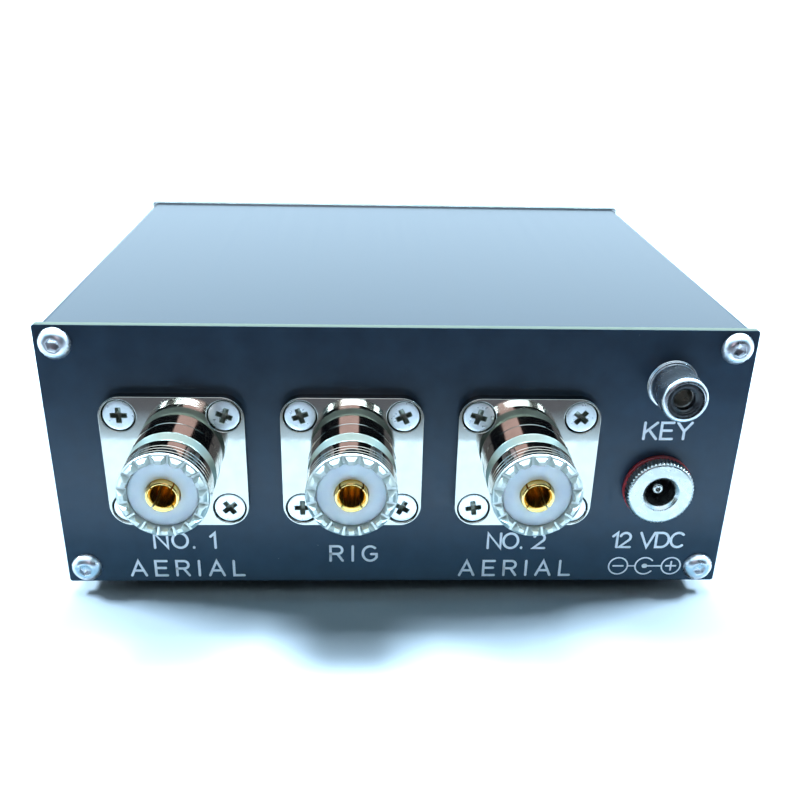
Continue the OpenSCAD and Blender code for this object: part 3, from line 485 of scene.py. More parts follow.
GLYPHS = {
    "A": (0.86, [[(0, 0), (0.43, 1), (0.86, 0)], [(0.15, 0.34), (0.71, 0.34)]]),
    "C": (0.8, [arc(0.44, 0.5, 0.44, 0.5, 48, 312, 18)]),
    "D": (0.78, [[(0, 0), (0, 1), (0.34, 1)] + arc(0.34, 0.5, 0.44, 0.5, 80, -80, 14)
                 + [(0.34, 0), (0, 0)]]),
    "E": (0.66, [[(0.66, 1), (0, 1), (0, 0), (0.66, 0)], [(0, 0.52), (0.58, 0.52)]]),
    "F": (0.62, [[(0.62, 1), (0, 1), (0, 0)], [(0, 0.52), (0.55, 0.52)]]),
    "G": (0.82, [arc(0.44, 0.5, 0.44, 0.5, 50, 330, 18) + [(0.82, 0.46), (0.5, 0.46)]]),
    "H": (0.76, [[(0, 0), (0, 1)], [(0.76, 0), (0.76, 1)], [(0, 0.52), (0.76, 0.52)]]),
    "I": (0.06, [[(0.03, 0), (0.03, 1)]]),
    "K": (0.72, [[(0, 0), (0, 1)], [(0.7, 1), (0, 0.36)], [(0.24, 0.58), (0.72, 0)]]),
    "L": (0.6, [[(0, 1), (0, 0), (0.6, 0)]]),
    "N": (0.76, [[(0, 0), (0, 1), (0.76, 0), (0.76, 1)]]),
    "O": (0.88, [arc(0.44, 0.5, 0.44, 0.5, 90, 450, 28)]),
    "P": (0.7, [[(0, 0), (0, 1), (0.44, 1)] + arc(0.44, 0.74, 0.26, 0.26, 80, -80, 10)
                + [(0.44, 0.48), (0, 0.48)]]),
    "R": (0.72, [[(0, 0), (0, 1), (0.44, 1)] + arc(0.44, 0.74, 0.26, 0.26, 80, -80, 10)
                 + [(0.44, 0.48), (0, 0.48)], [(0.4, 0.48), (0.72, 0)]]),
    "S": (0.7, [arc(0.35, 0.75, 0.31, 0.25, 30, 250, 12)
                + arc(0.36, 0.25, 0.34, 0.26, 80, -150, 12)]),
    "V": (0.84, [[(0, 1), (0.42, 0), (0.84, 1)]]),
    "Y": (0.8, [[(0, 1), (0.4, 0.48), (0.8, 1)], [(0.4, 0.48), (0.4, 0)]]),
    "0": (0.64, [arc(0.32, 0.5, 0.32, 0.5, 90, 450, 26)]),
    "1": (0.3, [[(0, 0.76), (0.26, 1), (0.26, 0)]]),
    "2": (0.66, [arc(0.33, 0.7, 0.31, 0.3, 165, -35, 12) + [(0, 0), (0.66, 0)]]),
    "3": (0.62, [arc(0.3, 0.74, 0.28, 0.26, 150, -80, 12),
                 arc(0.3, 0.26, 0.32, 0.27, 80, -150, 12)]),
    "4": (0.68, [[(0.48, 0), (0.48, 1), (0, 0.28), (0.68, 0.28)]]),
    "5": (0.62, [[(0.56, 1), (0.08, 1), (0.04, 0.55)] + arc(0.3, 0.32, 0.32, 0.32, 130, -150, 14)]),
    "6": (0.64, [[(0.5, 1)] + arc(0.62, 0.32, 0.6, 0.7, 125, 178, 6)
                 + arc(0.33, 0.31, 0.31, 0.31, 180, 540, 20)]),
    "7": (0.62, [[(0, 1), (0.62, 1), (0.22, 0)]]),
    "8": (0.64, [arc(0.32, 0.75, 0.26, 0.25, 90, 450, 20),
                 arc(0.32, 0.26, 0.31, 0.26, 90, 450, 20)]),
    "9": (0.64, [arc(0.33, 0.69, 0.31, 0.31, 0, 360, 20) + arc(0.02, 0.68, 0.62, 0.7, -2, -55, 6)]),
    ".": (0.1, [[(0.05, 0), (0.05, 0.04)]]),
    " ": (0.35, []),
}


def ribbon(points, width, height):
    """Vertices and faces of a flat raised line with round ends along points."""
    closed = len(points) > 3 and math.dist(points[0], points[-1]) < 1e-6
    pts = [Vector(p) for p in (points[:-1] if closed else points)]
    n, half = len(pts), width / 2
    left, right = [], []
    for i in range(n):
        e = (pts[i] - pts[i - 1]).normalized() if i or closed else None
        f = (pts[(i + 1) % n] - pts[i]).normalized() if i < n - 1 or closed else None
        e, f = e or f, f or e
        m = Vector((-e.y - f.y, e.x + f.x))
        m = m.normalized() * half / max(0.45, m.length / 2)
        left.append(pts[i] + m)
        right.append(pts[i] - m)
    if closed:
        verts = [(p.x, p.y, z) for z in (height, 0) for loop in (left, right) for p in loop]
        faces = []
        for i in range(n):
            k = (i + 1) % n
            faces += [(i, k, n + k, n + i), (i, 2 * n + i, 2 * n + k, k),
                      (n + i, n + k, 3 * n + k, 3 * n + i)]
        return verts, faces
    ends = []
    for p, direction in ((pts[-1], (pts[-1] - pts[-2]).normalized()),
                         (pts[0], (pts[0] - pts[1]).normalized())):
        start = math.atan2(direction.y, direction.x) + math.pi / 2
        ends.append([p + half * Vector((math.cos(start - math.pi * k / 6),
                                        math.sin(start - math.pi * k / 6))) for k in range(1, 6)])
    outline = left + ends[0] + right[::-1] + ends[1]
    count = len(outline)
    verts = [(p.x, p.y, z) for z in (height, 0) for p in outline]
    faces = [(i, i + 1, 2 * n + 3 - i, 2 * n + 4 - i) for i in range(n - 1)]
    faces += [tuple(range(n - 1, n + 6)), tuple([0, 2 * n + 4] + list(range(2 * n + 5, count)))]
    faces += [(i, count + i, count + (i + 1) % count, (i + 1) % count) for i in range(count)]
    return verts, faces


INK_HEIGHT, INK_STEP = 0.03, 0.0015
LETTER_GAP = 0.42                   # between centred letters, as a part of their height
ink_lift = [0]


def stroke(shape, points, place, width=0.5):
    """One printed line, in the second material. Each sits a hair higher than the last, so that
    none share a plane."""
    ink_lift[0] = (ink_lift[0] + 1) % 9
    height = INK_HEIGHT + INK_STEP * ink_lift[0]
    shape.add(*ribbon(points, width, height), place, 1)


def write(shape, words, x0, x1, y, cap, place, width=0.5):
    """Words spread from x0 to x1 on the baseline y, with capitals cap high."""
    widths = [GLYPHS[c][0] * cap for c in words]
    gap = (x1 - x0 - sum(widths)) / max(1, len(words) - 1)
    x = x0
    for c, w in zip(words, widths):
        for line in GLYPHS[c][1]:
            stroke(shape, [(x + px * cap, y + py * cap) for px, py in line], place, width)
        x += w + gap


def centred(shape, words, x, y, cap, place, width):
    total = sum(GLYPHS[c][0] * cap for c in words) + LETTER_GAP * cap * (len(words) - 1)
    write(shape, words, x - total / 2, x + total / 2, y, cap, place, width)


# -------- panels

corner_screws = middle("rear_panel_screws")
BUTTON_R = 2.85
SCREW_X = (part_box("rear_panel_screws")[1].x / MM) - BUTTON_R
SCREW_DZ = (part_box("rear_panel_screws")[1].z / MM) - BUTTON_R - corner_screws.z
PANEL_MID = PANEL_Z + PANEL_H / 2
SOCKETS = [(name, middle(name + "_socket_shell")) for name in ("antenna_1", "radio", "antenna_2")]
SOCKET_Z = SOCKETS[0][1].z
phono_at = middle("phono_jack_sleeve")
HOLE = 9.15                         # flange holes from the socket's middle

CORNERS = [(sx, sz) for sx in (-1, 1) for sz in (-1, 1)]
corner_holes = [circle(sx * SCREW_X, sz * SCREW_DZ, 1.7, 32) for sx, sz in CORNERS]

rear = Shape()
holes = list(corner_holes)
for _, at in SOCKETS:
    holes.append(circle(at.x, at.z - PANEL_MID, 6.35, 64))
    holes += [circle(at.x + sx * HOLE, at.z - PANEL_MID + sz * HOLE, 1.7, 32)
              for sx, sz in CORNERS]
holes += [circle(at.x, at.z - PANEL_MID, r, n) for at, r, n in ((phono_at, 3.2, 40),
                                                                (power_at, 4.1, 48))]
rear.add(*plate(rounded_box(PANEL_W, PANEL_H, 0.5, 4), holes, -PANEL_T, 0, 0.07, 1),
         on_rear(0, PANEL_MID))
label = on_rear(0, PANEL_Z)
for words, x0, x1, y, cap in (
        ("NO. 1", -45.7, -34.2, 7.4, 3.2), ("AERIAL", -50.6, -29.2, 1.25, 3.2),
        ("RIG", -12.6, -3.8, 4.5, 3.2), ("NO. 2", 17.5, 28.4, 7.3, 3.2),
        ("AERIAL", 12.3, 33.8, 1.2, 3.2), ("KEY", 44.6, 53.2, 30.4, 3.2),
        ("12 VDC", 41.6, 55.4, 7.5, 3.15)):
    write(rear, words, x0, x1, y, cap, label)
SIGN_Y, SIGN_R = 3.25, 1.85         # the polarity sign's level and the radius of its rings
for cx in (43.3, 53.7):
    stroke(rear, arc(cx, SIGN_Y, SIGN_R, SIGN_R, 0, 360, 40), label, 0.3)
    stroke(rear, [(cx - 0.95, SIGN_Y), (cx + 0.95, SIGN_Y)], label, 0.34)
stroke(rear, [(53.7, 2.3), (53.7, 4.2)], label, 0.34)
stroke(rear, arc(48.5, SIGN_Y, SIGN_R, SIGN_R, 40, 320, 30), label, 0.3)
for x0, x1, width in ((45.15, 46.65, 0.3), (48.5, 51.85, 0.3), (48.4, 48.6, 0.95)):
    stroke(rear, [(x0, SIGN_Y), (x1, SIGN_Y)], label, width)
rear.make("rear_panel_board", "case", [MASK, INK, LAMINATE, PLATED], ["rear_panel"],
          sharp=40, inner_y=rear_hi.y)

knobs = {name: middle(name + "_knob") for name in ("gain_1", "phase", "gain_2")}
switch_at = middle("power_switch_nut")
lamp_at = middle("power_lamp_holder")
front = Shape()
openings = [(at, 3.6, 48) for at in knobs.values()] + [(switch_at, 3.1, 48), (lamp_at, 2.6, 40)]
holes = corner_holes + [circle(-at.x, at.z - PANEL_MID, r, n) for at, r, n in openings]
front.add(*plate(rounded_box(PANEL_W, PANEL_H, 0.5, 4), holes, -PANEL_T, 0, 0.07, 1),
          on_front(0, PANEL_MID))
DIAL_R = 11.1                       # where the scale marks start
for name, at in knobs.items():
    here = on_front(at.x, at.z)
    for i in range(11):
        a = math.radians(240 - 30 * i)
        c, s = math.cos(a), math.sin(a)
        stroke(front, [(DIAL_R * c, DIAL_R * s), (12.7 * c, 12.7 * s)], here, 0.34)
        if i < 10:
            b = a - math.radians(15)
            stroke(front, [(r * math.cos(b), r * math.sin(b)) for r in (DIAL_R, 11.9)], here, 0.22)
        centred(front, str(i), 14.3 * c, 14.3 * s - 0.85, 1.7, here, 0.26)
    centred(front, name.replace("_", " ").upper(), 0, -19.8, 2.8, here, 0.36)
here = on_front(switch_at.x, switch_at.z)
centred(front, "ON", 0, 6.3, 2.2, here, 0.3)
centred(front, "OFF", 0, -13.4, 2.2, here, 0.3)
front.make("front_panel_board", "case", [MASK, INK, LAMINATE, PLATED], ["front_panel"],
           sharp=40, inner_y=front_lo.y)

# Button-head corner screws with a hexagon socket
hexa = hexagon(2.0, math.radians(15))
button = [(0, -8), (1.5, -8), (1.5, -0.05), (2.78, 0.0), (BUTTON_R, 0.08), (2.84, 0.2),
          (2.72, 0.55), (2.45, 0.95), (2.1, 1.27), (1.75, 1.48), (1.5, 1.57), (1.38, 1.585),
          (lambda a: hexa(a) + 0.1, 1.56), (hexa, 1.46), (hexa, 0.62),
          (lambda a: hexa(a) * 0.8, 0.55), (0.35, 0.42), (0, 0.36)]
for node, place_on, name in (("rear_panel_screws", on_rear, "rear_corner_screws"),
                             ("front_panel_screws", on_front, "front_corner_screws")):
    shape = Shape()
    for i, (sx, sz) in enumerate(CORNERS):
        spot = place_on(sx * SCREW_X, PANEL_MID + sz * SCREW_DZ)
        shape.add(*loft(button, even_angles(72)), turned(0.5 * i, spot))
    shape.make(name, "case", [STAINLESS], [node], sharp=30)

# -------- coaxial sockets

BARREL_R = 7.85
CROWN_TOP = 15.6
PITCH = 25.4 / 24
THREAD_START = 9.8
THREAD_TURNS = 3
TEETH = 16
tooth = TAU / TEETH
crown_angles = [(i + d / 22.5) * tooth for i in range(TEETH)
                for d in (-11.25, -9.2, -7.1, -5.3, -3.5, -1.67, 0, 1.67, 3.5, 5.3, 7.1, 9.2)]


def crown_top(a):
    """Height of the crown's rim at angle a, with a notch every tooth."""
    off = abs(math.degrees((a + tooth / 2) % tooth - tooth / 2))
    if off >= 7.1:
        return CROWN_TOP
    return CROWN_TOP - 1.15 * min(1.0, (7.1 - off) / (7.1 - 1.67))


def thread(angles, start, turns):
    """A single-start thread as one strip, closed by a flat ring above and below. Each row of a
    cross-section is (part of the pitch, depth), and the cut runs out over a quarter turn."""
    section = [(0, 0), (0.84, 0), (0.9, 0.05), (0.95, 0.05)]
    n, rows, last = len(angles), len(section), turns * len(angles)
    verts = []

    def point(j, part, depth):
        a = angles[j % n]
        r = BARREL_R - depth * max(0.0, min(1.0, 4 * j / n, 4 * (last - j) / n))
        t = start + PITCH * (j // n + (a - angles[0]) / TAU + part)
        verts.append((r * math.cos(a), r * math.sin(a), t))

    def at(j, k):
        return j * rows + k if j <= last else last * rows + rows + j - last - 1

    for j in range(last + 1):
        for part, depth in section:
            point(j, part, depth)
    for j in range(last + 1, last + n + 1):
        point(j, 0, 0)
    faces = []
    for j in range(last):
        faces += [(at(j, k), at(j + 1, k), at(j + 1, k + 1), at(j, k + 1)) for k in range(rows - 1)]
        faces.append((at(j, rows - 1), at(j + 1, rows - 1), at(j + 1 + n, 0), at(j + n, 0)))
    low, high = len(verts), len(verts) + n
    for t in (start - 0.1, start + PITCH * (turns + 1) + 0.1):
        verts += [(BARREL_R * math.cos(a), BARREL_R * math.sin(a), t) for a in angles]
    faces += [(low + j, low + j + 1, at(j + 1, 0), at(j, 0)) for j in range(n - 1)]
    faces.append((low + n - 1, low, *(at(0, k) for k in range(rows)), at(n, 0), at(n - 1, 0)))
    faces += [(at(last + j, 0), at(last + j + 1, 0), high + (j + 1) % n, high + j)
              for j in range(1, n)]
    faces.append((at(last, 0), at(last + 1, 0), high + 1, high, at(last + n, 0),
                  *(at(last, k) for k in range(rows - 1, 0, -1))))
    return verts, faces


collar = [(BARREL_R, 14.2), (7.84, 14.3), (7.74, 14.5), (7.56, 14.66), (7.44, 14.72), (7.34, 14.77),
          (7.35, 14.82), (7.47, 14.86), (7.4, 14.98), (7.2, 15.24), (7.02, 15.5), (6.93, 15.59)]


def on_collar(t):
    for (r0, t0), (r1, t1) in zip(collar, collar[1:]):
        if t <= t1:
            return r0 + (r1 - r0) * max(0.0, t - t0) / (t1 - t0)
    return collar[-1][0]


def on_mouth(t):
    return 5.97 + 0.3 * max(0.0, (t - 14.1) / 1.5)


barrel = [(6.4, 0.1), (7.95, 1.0), (7.95, 1.98), (7.88, 2.03), (BARREL_R, 2.12),
          (BARREL_R, 2.2), (BARREL_R, 5.8), (BARREL_R, 5.88)]
relief = [(BARREL_R, 5.88), (7.83, 5.95), (7.76, 6.03), (6.95, 6.85), (6.87, 6.95), (6.85, 7.1),
          (6.85, 8.65), (6.88, 8.8), (7.0, 8.9), (7.76, 9.2), (7.83, 9.25), (BARREL_R, 9.32)]
run_in = [(BARREL_R, 9.32), (BARREL_R, THREAD_START - 0.1)]
mouth = [(BARREL_R, THREAD_START + PITCH * (THREAD_TURNS + 1) + 0.1)] + collar[:1]
for _, t in collar[1:]:
    mouth.append((lambda a, t=t: on_collar(min(t, crown_top(a))),
                  lambda a, t=t: min(t, crown_top(a))))
mouth += [(lambda a: on_collar(crown_top(a)) - 0.06, crown_top),
          (lambda a: on_mouth(crown_top(a)) + 0.05, crown_top),
          (lambda a: on_mouth(crown_top(a) - 0.08), lambda a: crown_top(a) - 0.08),
          (5.99, 14.1), (5.97, 13.4)]
bore = [(5.97, 13.4), (5.97, 0.1), (6.4, 0.1)]

flange_holes = [circle(sx * HOLE, sz * HOLE, 3.05, 48) for sx, sz in CORNERS]
flange = plate(rounded_box(25.4, 25.4, 4, 12), flange_holes + [circle(0, 0, 7.2, 64)],
               0.02, 2, 0.1, 3)
sink = [(3.06, 1.88), (2.98, 1.62), (2.0, 0.5), (1.6, 0.3), (1.6, 0.05)]

contact_outline = [(2.8, 1.05), (2.8, 15.0), (2.76, 15.1), (2.66, 15.17), (2.52, 15.2),
                   (2.44, 15.18), (2.34, 15.06), (2.08, 14.74), (2.05, 14.66), (2.05, 4.2),
                   (2.05, 1.05)]
slit = math.asin(0.175 / 2.8)

screw_heads = Shape()
SCREW_TURNS = [[12, 0, 38, 70], [0, 20, 60, 25], [8, 72, 15, 50]]   # degrees, per socket
edge = math.atan2(0.42, 1.4)
head_steps = (-45, -34, -24, -math.degrees(edge), -7, 0, 7, math.degrees(edge), 24, 34)
cross_angles = [math.radians(90 * q + d) for q in range(4) for d in head_steps]
flat_head = [(0, -6.2), (1.5, -6.2), (1.5, 0.5), (2.66, 1.5), (2.75, 1.58), (2.75, 1.69),
             (2.7, 1.745), (2.6, 1.76), (2.1, 1.765), (cross(1.5, 0.5), 1.755)]
recess = [(cross(1.5, 0.5), 1.755), (cross(1.42, 0.45), 1.68), (cross(1.25, 0.4), 1.0),
          (cross(0.9, 0.34), 0.5), (0, 0.25)]

for (name, at), turns in zip(SOCKETS, SCREW_TURNS):
    spot = on_rear(at.x, SOCKET_Z)
    body = Shape()
    # The flange and its countersinks take the darker nickel copy, painted shade.
    body.add(*flange, spot, 2)
    for (sx, sz), turn in zip(CORNERS, turns):
        hole_spot = shifted(sx * HOLE, sz * HOLE, spot)
        body.add(*loft(sink, even_angles(40)), hole_spot, 2)
        screw_spot = turned(math.radians(turn), hole_spot)
        screw_heads.add(*loft(flat_head, cross_angles), screw_spot)
        # The cross recess takes the darker nickel: painted shade in the recess.
        screw_heads.add(*loft(recess, cross_angles), screw_spot, 1)
    barrel_spot = turned(tooth / 2 - TAU / 4, spot)
    # The relief groove takes the fourth, darker nickel: painted shade in the groove.
    for part, finish in ((loft(barrel, crown_angles), 0), (loft(relief, crown_angles), 3),
                         (loft(run_in, crown_angles), 0), (loft(mouth, crown_angles), 1),
                         (thread(crown_angles, THREAD_START, THREAD_TURNS), 0),
                         (loft(bore, crown_angles), 0)):
        body.add(*part, barrel_spot, finish)
    body.make(name + "_shell_cast", "case", [NICKEL, CAST_NICKEL, FLANGE_SHADED_NICKEL, RECESS_SHADE_NICKEL],
              [name + "_socket_shell"], sharp=34)

    turned_piece(name + "_insulator_turned",
                 [(1.66, -4.6), (5.1, -4.6), (5.95, -3.8), (5.95, 13.9), (5.9, 14.03),
                  (5.78, 14.1), (5.5, 14.12), (4.2, 14.1), (3.05, 14.06), (2.96, 14.0),
                  (2.92, 13.8), (2.92, 1.0), (1.66, 1.0)], 96, spot, PTFE,
                 name + "_socket_insulator")

    contact = Shape()
    for q in range(4):
        start = math.radians(45 + 90 * q)
        contact.add(*wedge(contact_outline, start + slit, start + math.pi / 2 - slit, 12), spot)
    contact.add(*loft([(0, -8), (1.1, -8), (1.1, -11), (1.6, -11), (1.6, 1.0), (2.75, 1.04),
                       (2.75, 3.9), (2.0, 4.0), (0, 4.1)], even_angles(32)), spot)
    contact.make(name + "_contact_gilt", "case", [GILT], [name + "_socket_contact"])
screw_heads.make("socket_screws_crossed", "case", [ZINC, RECESS_SHADE_NICKEL], ["socket_screws"],
                 sharp=30)

# -------- phono jack

spot = on_rear(phono_at.x, phono_at.z)
front_round = [(3.3 + 0.8 * math.cos(a), 7.3 + 0.9 * math.sin(a))
               for a in [math.pi / 2 * k / 12 for k in range(13)]]
turned_piece("phono_sleeve_polished",
             [(2.7, -7.6), (3.1, -7.6), (3.1, 0), (4.48, 0.0), (4.55, 0.06), (4.55, 0.28),
              (4.49, 0.35), (4.28, 0.38), (4.26, 0.44), (4.42, 0.47), (4.47, 0.54), (4.47, 0.7),
              (4.41, 0.78), (4.2, 0.8), (4.12, 0.84), (4.1, 0.95), (4.1, 3.0), (4.1, 5.2)]
             + front_round + [(3.23, 8.15), (3.22, 8.0), (3.22, 1.5), (2.7, 1.5)],
             96, spot, DARK_NICKEL, "phono_jack_sleeve")
turned_piece("phono_insulator_moulded",
             [(2.12, -8.6), (2.68, -8.6), (2.68, 1.52), (3.2, 1.52), (3.2, 7.7), (3.14, 7.8),
              (3.0, 7.85), (2.6, 7.86), (2.44, 7.83), (2.34, 7.74), (2.28, 7.6), (1.9, 7.36),
              (1.85, 7.28), (1.85, 6.2), (2.12, 6.2)], 80, spot, BLACK, "phono_jack_insulator")
turned_piece("phono_contact_turned",
             [(0, -9.6), (1.2, -9.6), (1.2, -12.6), (2.1, -12.6), (2.1, 6.1), (2.04, 6.17),
              (1.74, 6.17), (1.65, 6.05), (1.65, -1.6), (0, -1.6)], 40, spot, TINNED,
             "phono_jack_contact", closed=False)

# -------- power jack

spot = on_rear(power_at.x, power_at.z)
turned_piece("power_washer_fibre",
             [(4.06, 0.02), (6.38, 0.02), (6.45, 0.1), (6.45, 0.7), (6.38, 0.79), (4.06, 0.79)],
             96, spot, RED_FIBRE, "power_jack_washer")
KNURLS = 54


def knurled(r, depth):
    def radius(a):
        u = a / TAU * KNURLS % 1
        return r - depth * max(0.0, 1 - abs(u - 0.5) / 0.42)
    return radius


turned_piece("power_jack_knurled",
             [(2.8, -9), (4, -9), (4, 0.8), (5.9, 0.81), (knurled(6.05, 0.02), 0.84),
              (knurled(6.28, 0.2), 1.06), (knurled(6.3, 0.3), 1.2), (knurled(6.3, 0.3), 2.72),
              (knurled(6.2, 0.2), 2.95), (knurled(5.98, 0.03), 3.16), (5.82, 3.26), (5.68, 3.3),
              (4.6, 3.3), (3.5, 3.3), (3.38, 3.28), (3.28, 3.2), (2.9, 2.78), (2.82, 2.68),
              (2.8, 2.55)], KNURLS * 6, spot, SATIN, "power_jack_shell", sharp=28)
turned_piece("power_insulator_moulded",
             [(0.82, -12), (4.5, -12), (4.6, -11.9), (4.6, -9), (2.78, -9), (2.78, -7.5),
              (0.82, -7.5)], 64, spot, BLACK, "power_jack_insulator")
turned_piece("power_pin_turned",
             [(0, -15), (0.6, -15), (0.6, -12), (0.8, -12), (0.8, -7.48), (1.05, -7.48),
              (1.05, 0.86), (1.02, 1.02), (0.92, 1.16), (0.76, 1.24), (0.6, 1.25), (0.48, 1.22),
              (0.42, 1.12), (0.36, 0.6), (0, 0.45)], 48, spot, SATIN, "power_jack_pin",
             closed=False)

# -------- front controls

FLUTES = 30


def fluted(r, depth):
    def radius(a):
        u = abs((a / TAU * FLUTES) % 1 - 0.5)
        return r - depth * max(0.0, 1 - (u / 0.4) ** 2)
    return radius


knob_profile = [(0, 14.2), (3.02, 14.2), (3.02, 5.9), (7.2, 5.9), (7.2, 1.1), (9.5, 1.0),
                (9.8, 1.02), (9.95, 1.15), (10, 1.4), (10, 3.0), (9.92, 3.2), (9.55, 3.36),
                (fluted(9.5, 0.05), 3.5),
                (fluted(9.5, 0.34), 3.8), (fluted(9.44, 0.34), 9), (fluted(9.36, 0.34), 14.6),
                (fluted(9.3, 0.3), 15.6), (fluted(9.1, 0.12), 16.3), (8.86, 16.72),
                (8.5, 16.95), (8.2, 17.0), (7.1, 17.0), (6.98, 16.94), (6.9, 16.72), (6.7, 16.66),
                (6.5, 16.7), (5.5, 16.76), (0, 16.8)]
KNOB_RIM, KNOB_FACE = 16.995, 16.79    # where the pointer line lies
for (name, at), grub_turn in zip(knobs.items(), (0.2, 0.7, 0.4)):
    spot = on_front(at.x, at.z)
    shape = Shape()
    shape.add(*loft(knob_profile, even_angles(FLUTES * 8)), spot)
    stroke(shape, [(0, 7.35), (0, 8.25)], shifted(0, 0, spot, KNOB_RIM), 0.9)
    stroke(shape, [(0, 2.0), (0, 6.2)], shifted(0, 0, spot, KNOB_FACE), 0.9)
    shape.make(name + "_knob_fluted", name + "_control", [KNOB, INK], [name + "_knob"],
               sharp=30)
    grub = Shape()
    hexa_small = hexagon(1.5, grub_turn)
    down = [(0, 3.02), (1.2, 3.02), (1.5, 3.3), (1.5, 7.4), (1.44, 7.5),
            (lambda a: hexa_small(a) + 0.06, 7.5), (hexa_small, 7.42), (hexa_small, 6.05),
            (0, 5.95)]
    grub.add(*loft(down, even_angles(48)),
             lambda p, s=spot: s((p[0], -p[2], p[1] + 10)))
    grub.make(name + "_grub_screw", name + "_control", [GRUB], [name + "_knob_screw"])


def nut(shape, af, hole, t0, t1, place, turn=0.0):
    """A hexagon nut with its corners turned off on both faces."""
    corner = af / 2 / math.cos(math.pi / 6)
    flat = hexagon(af, turn)
    angles = [turn + a for a in even_angles(60)]
    low = (lambda a: min(flat(a), corner - 0.42))
    shape.add(*loft([(hole, t0 + 0.12), (hole + 0.12, t0), (low, t0), (flat, t0 + 0.26),
                     (flat, t1 - 0.26), (low, t1), (hole + 0.14, t1), (hole, t1 - 0.14)],
                    angles, closed=True), place)


spot = on_front(switch_at.x, switch_at.z)
shape = Shape()
nut(shape, 8, 3.02, 0, 1.8, spot, 0.3)
shape.make("switch_nut_chamfered", "case", [SATIN], ["power_switch_nut"])


def bushing_thread(t):
    return lambda a: 3.0 - 0.14 * max(0.0, 1 - abs((t / 0.6 - a / TAU) % 1 - 0.5) / 0.4)


shape = Shape()
bushing = [(2.45, -2), (2.98, -2)]
bushing += [(bushing_thread(-1.6 + 0.1 * i), -1.6 + 0.1 * i) for i in range(76)]
bushing += [(2.86, 6.1), (2.7, 6.2), (2.55, 6.2), (2.45, 6.1)]
shape.add(*loft(bushing, even_angles(48), closed=True), spot, 1)
shape.add(*plate(rounded_box(7.9, 13, 0.3, 3), [], -11.1, -1.62, 0.15), spot)
for i in (-1, 0, 1):
    shape.add(*plate([(-1, i * 4.7 - 0.4), (1, i * 4.7 - 0.4), (1, i * 4.7 + 0.4),
                      (-1, i * 4.7 + 0.4)], [], -15.1, -11.1, 0.05, 1), spot, 1)
shape.make("switch_body_threaded", "case", [BLUE_PLASTIC, SATIN], ["power_switch_body"])

tilt = math.radians(13)
PIVOT_T = 2.6
lever_spot = (lambda p: spot((p[0], p[1] * math.cos(tilt) - p[2] * math.sin(tilt),
                              p[1] * math.sin(tilt) + p[2] * math.cos(tilt) + PIVOT_T)))
lever = Shape()
ball = [(2.05 * math.cos(a), 2.05 * math.sin(a)) for a in
        [math.radians(-62 + 12.1 * k) for k in range(10)]]
tip = [(1.45 * math.cos(a), 11.55 + 1.45 * math.sin(a)) for a in
       [math.radians(-4 + 13.4 * k) for k in range(7)]]
lever.add(*loft([(0, -7.5), (0.75, -7.5), (0.9, -7.3), (0.9, -1.85)] + ball
                + [(1.07, 1.9), (1.12, 3), (1.25, 7), (1.4, 10.8)] + tip + [(0, 13)],
                even_angles(40)), lever_spot)
lever.make("switch_lever_turned", "switch_lever", [SATIN], ["power_switch_lever"])

spot = on_front(lamp_at.x, lamp_at.z)
turned_piece("lamp_bezel_turned",
             [(1.53, -3.8), (2.5, -3.8), (2.5, 0), (3.55, 0), (3.6, 0.06), (3.6, 0.36),
              (3.5, 0.48), (2.66, 1.06), (2.5, 1.12), (1.95, 1.12), (1.84, 1.06), (1.53, 0.6)],
             64, spot, SATIN, "power_lamp_holder")

# -------- CAD pieces shown as they are

SHOWN = (
    (STAINLESS, "zinc_screw", "socket_washers"), (ZINC, "zinc_screw", "socket_nuts"),
    (TINNED, "tinned", "socket_ground_tags phono_jack_ground_tag power_jack_terminals"),
    (SATIN, "satin_nickel", "phono_jack_nut power_jack_nut"),
    (POT_METAL, "pot_metal", "gain_1_pot phase_pot gain_2_pot pot_washers pot_nuts"),
    (BRASS, "shaft_brass", "gain_1_shaft phase_shaft gain_2_shaft"),
    (LENS, "lamp_lens", "power_lamp"), (BOARD, "board_green", "main_board"),
    (RELAY, "relay_case", "bypass_relays"), (CORE, "core_red", "toroid_cores"),
    (COPPER, "copper_wire", "toroid_windings"), (CAN, "capacitor_sleeve", "capacitors"),
    (EPOXY, "epoxy_black", "transistors"), (REGULATOR, "regulator_epoxy", "regulator"),
    (WIRE, "wire_insulation", "hookup_wires"), (ARRESTER, "arrester_ceramic", "surge_arresters"),
)
for finish, slot_name, nodes in SHOWN:
    for node in nodes.split():
        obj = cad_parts[node]
        obj.data.materials.clear()
        obj.data.materials.append(finish)
for node in ("main_board", "bypass_relays", "capacitors", "regulator"):
    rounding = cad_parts[node].modifiers.new("rounded edges", "BEVEL")
    rounding.width = 0.25 * MM
    rounding.segments = 2
    rounding.limit_method = "ANGLE"

# -------- floor, light and camera

def stage_plane(name, size_x, size_y, location, rotation, mat):
    mesh = bpy.data.meshes.new(name)
    x, y = size_x / 2, size_y / 2
    mesh.from_pydata([(-x, -y, 0), (x, -y, 0), (x, y, 0), (-x, y, 0)], [], [(0, 1, 2, 3)])
    mesh.materials.append(mat)
    obj = bpy.data.objects.new(name, mesh)
    obj.location, obj.rotation_euler = location, rotation
    link(obj)
    return obj


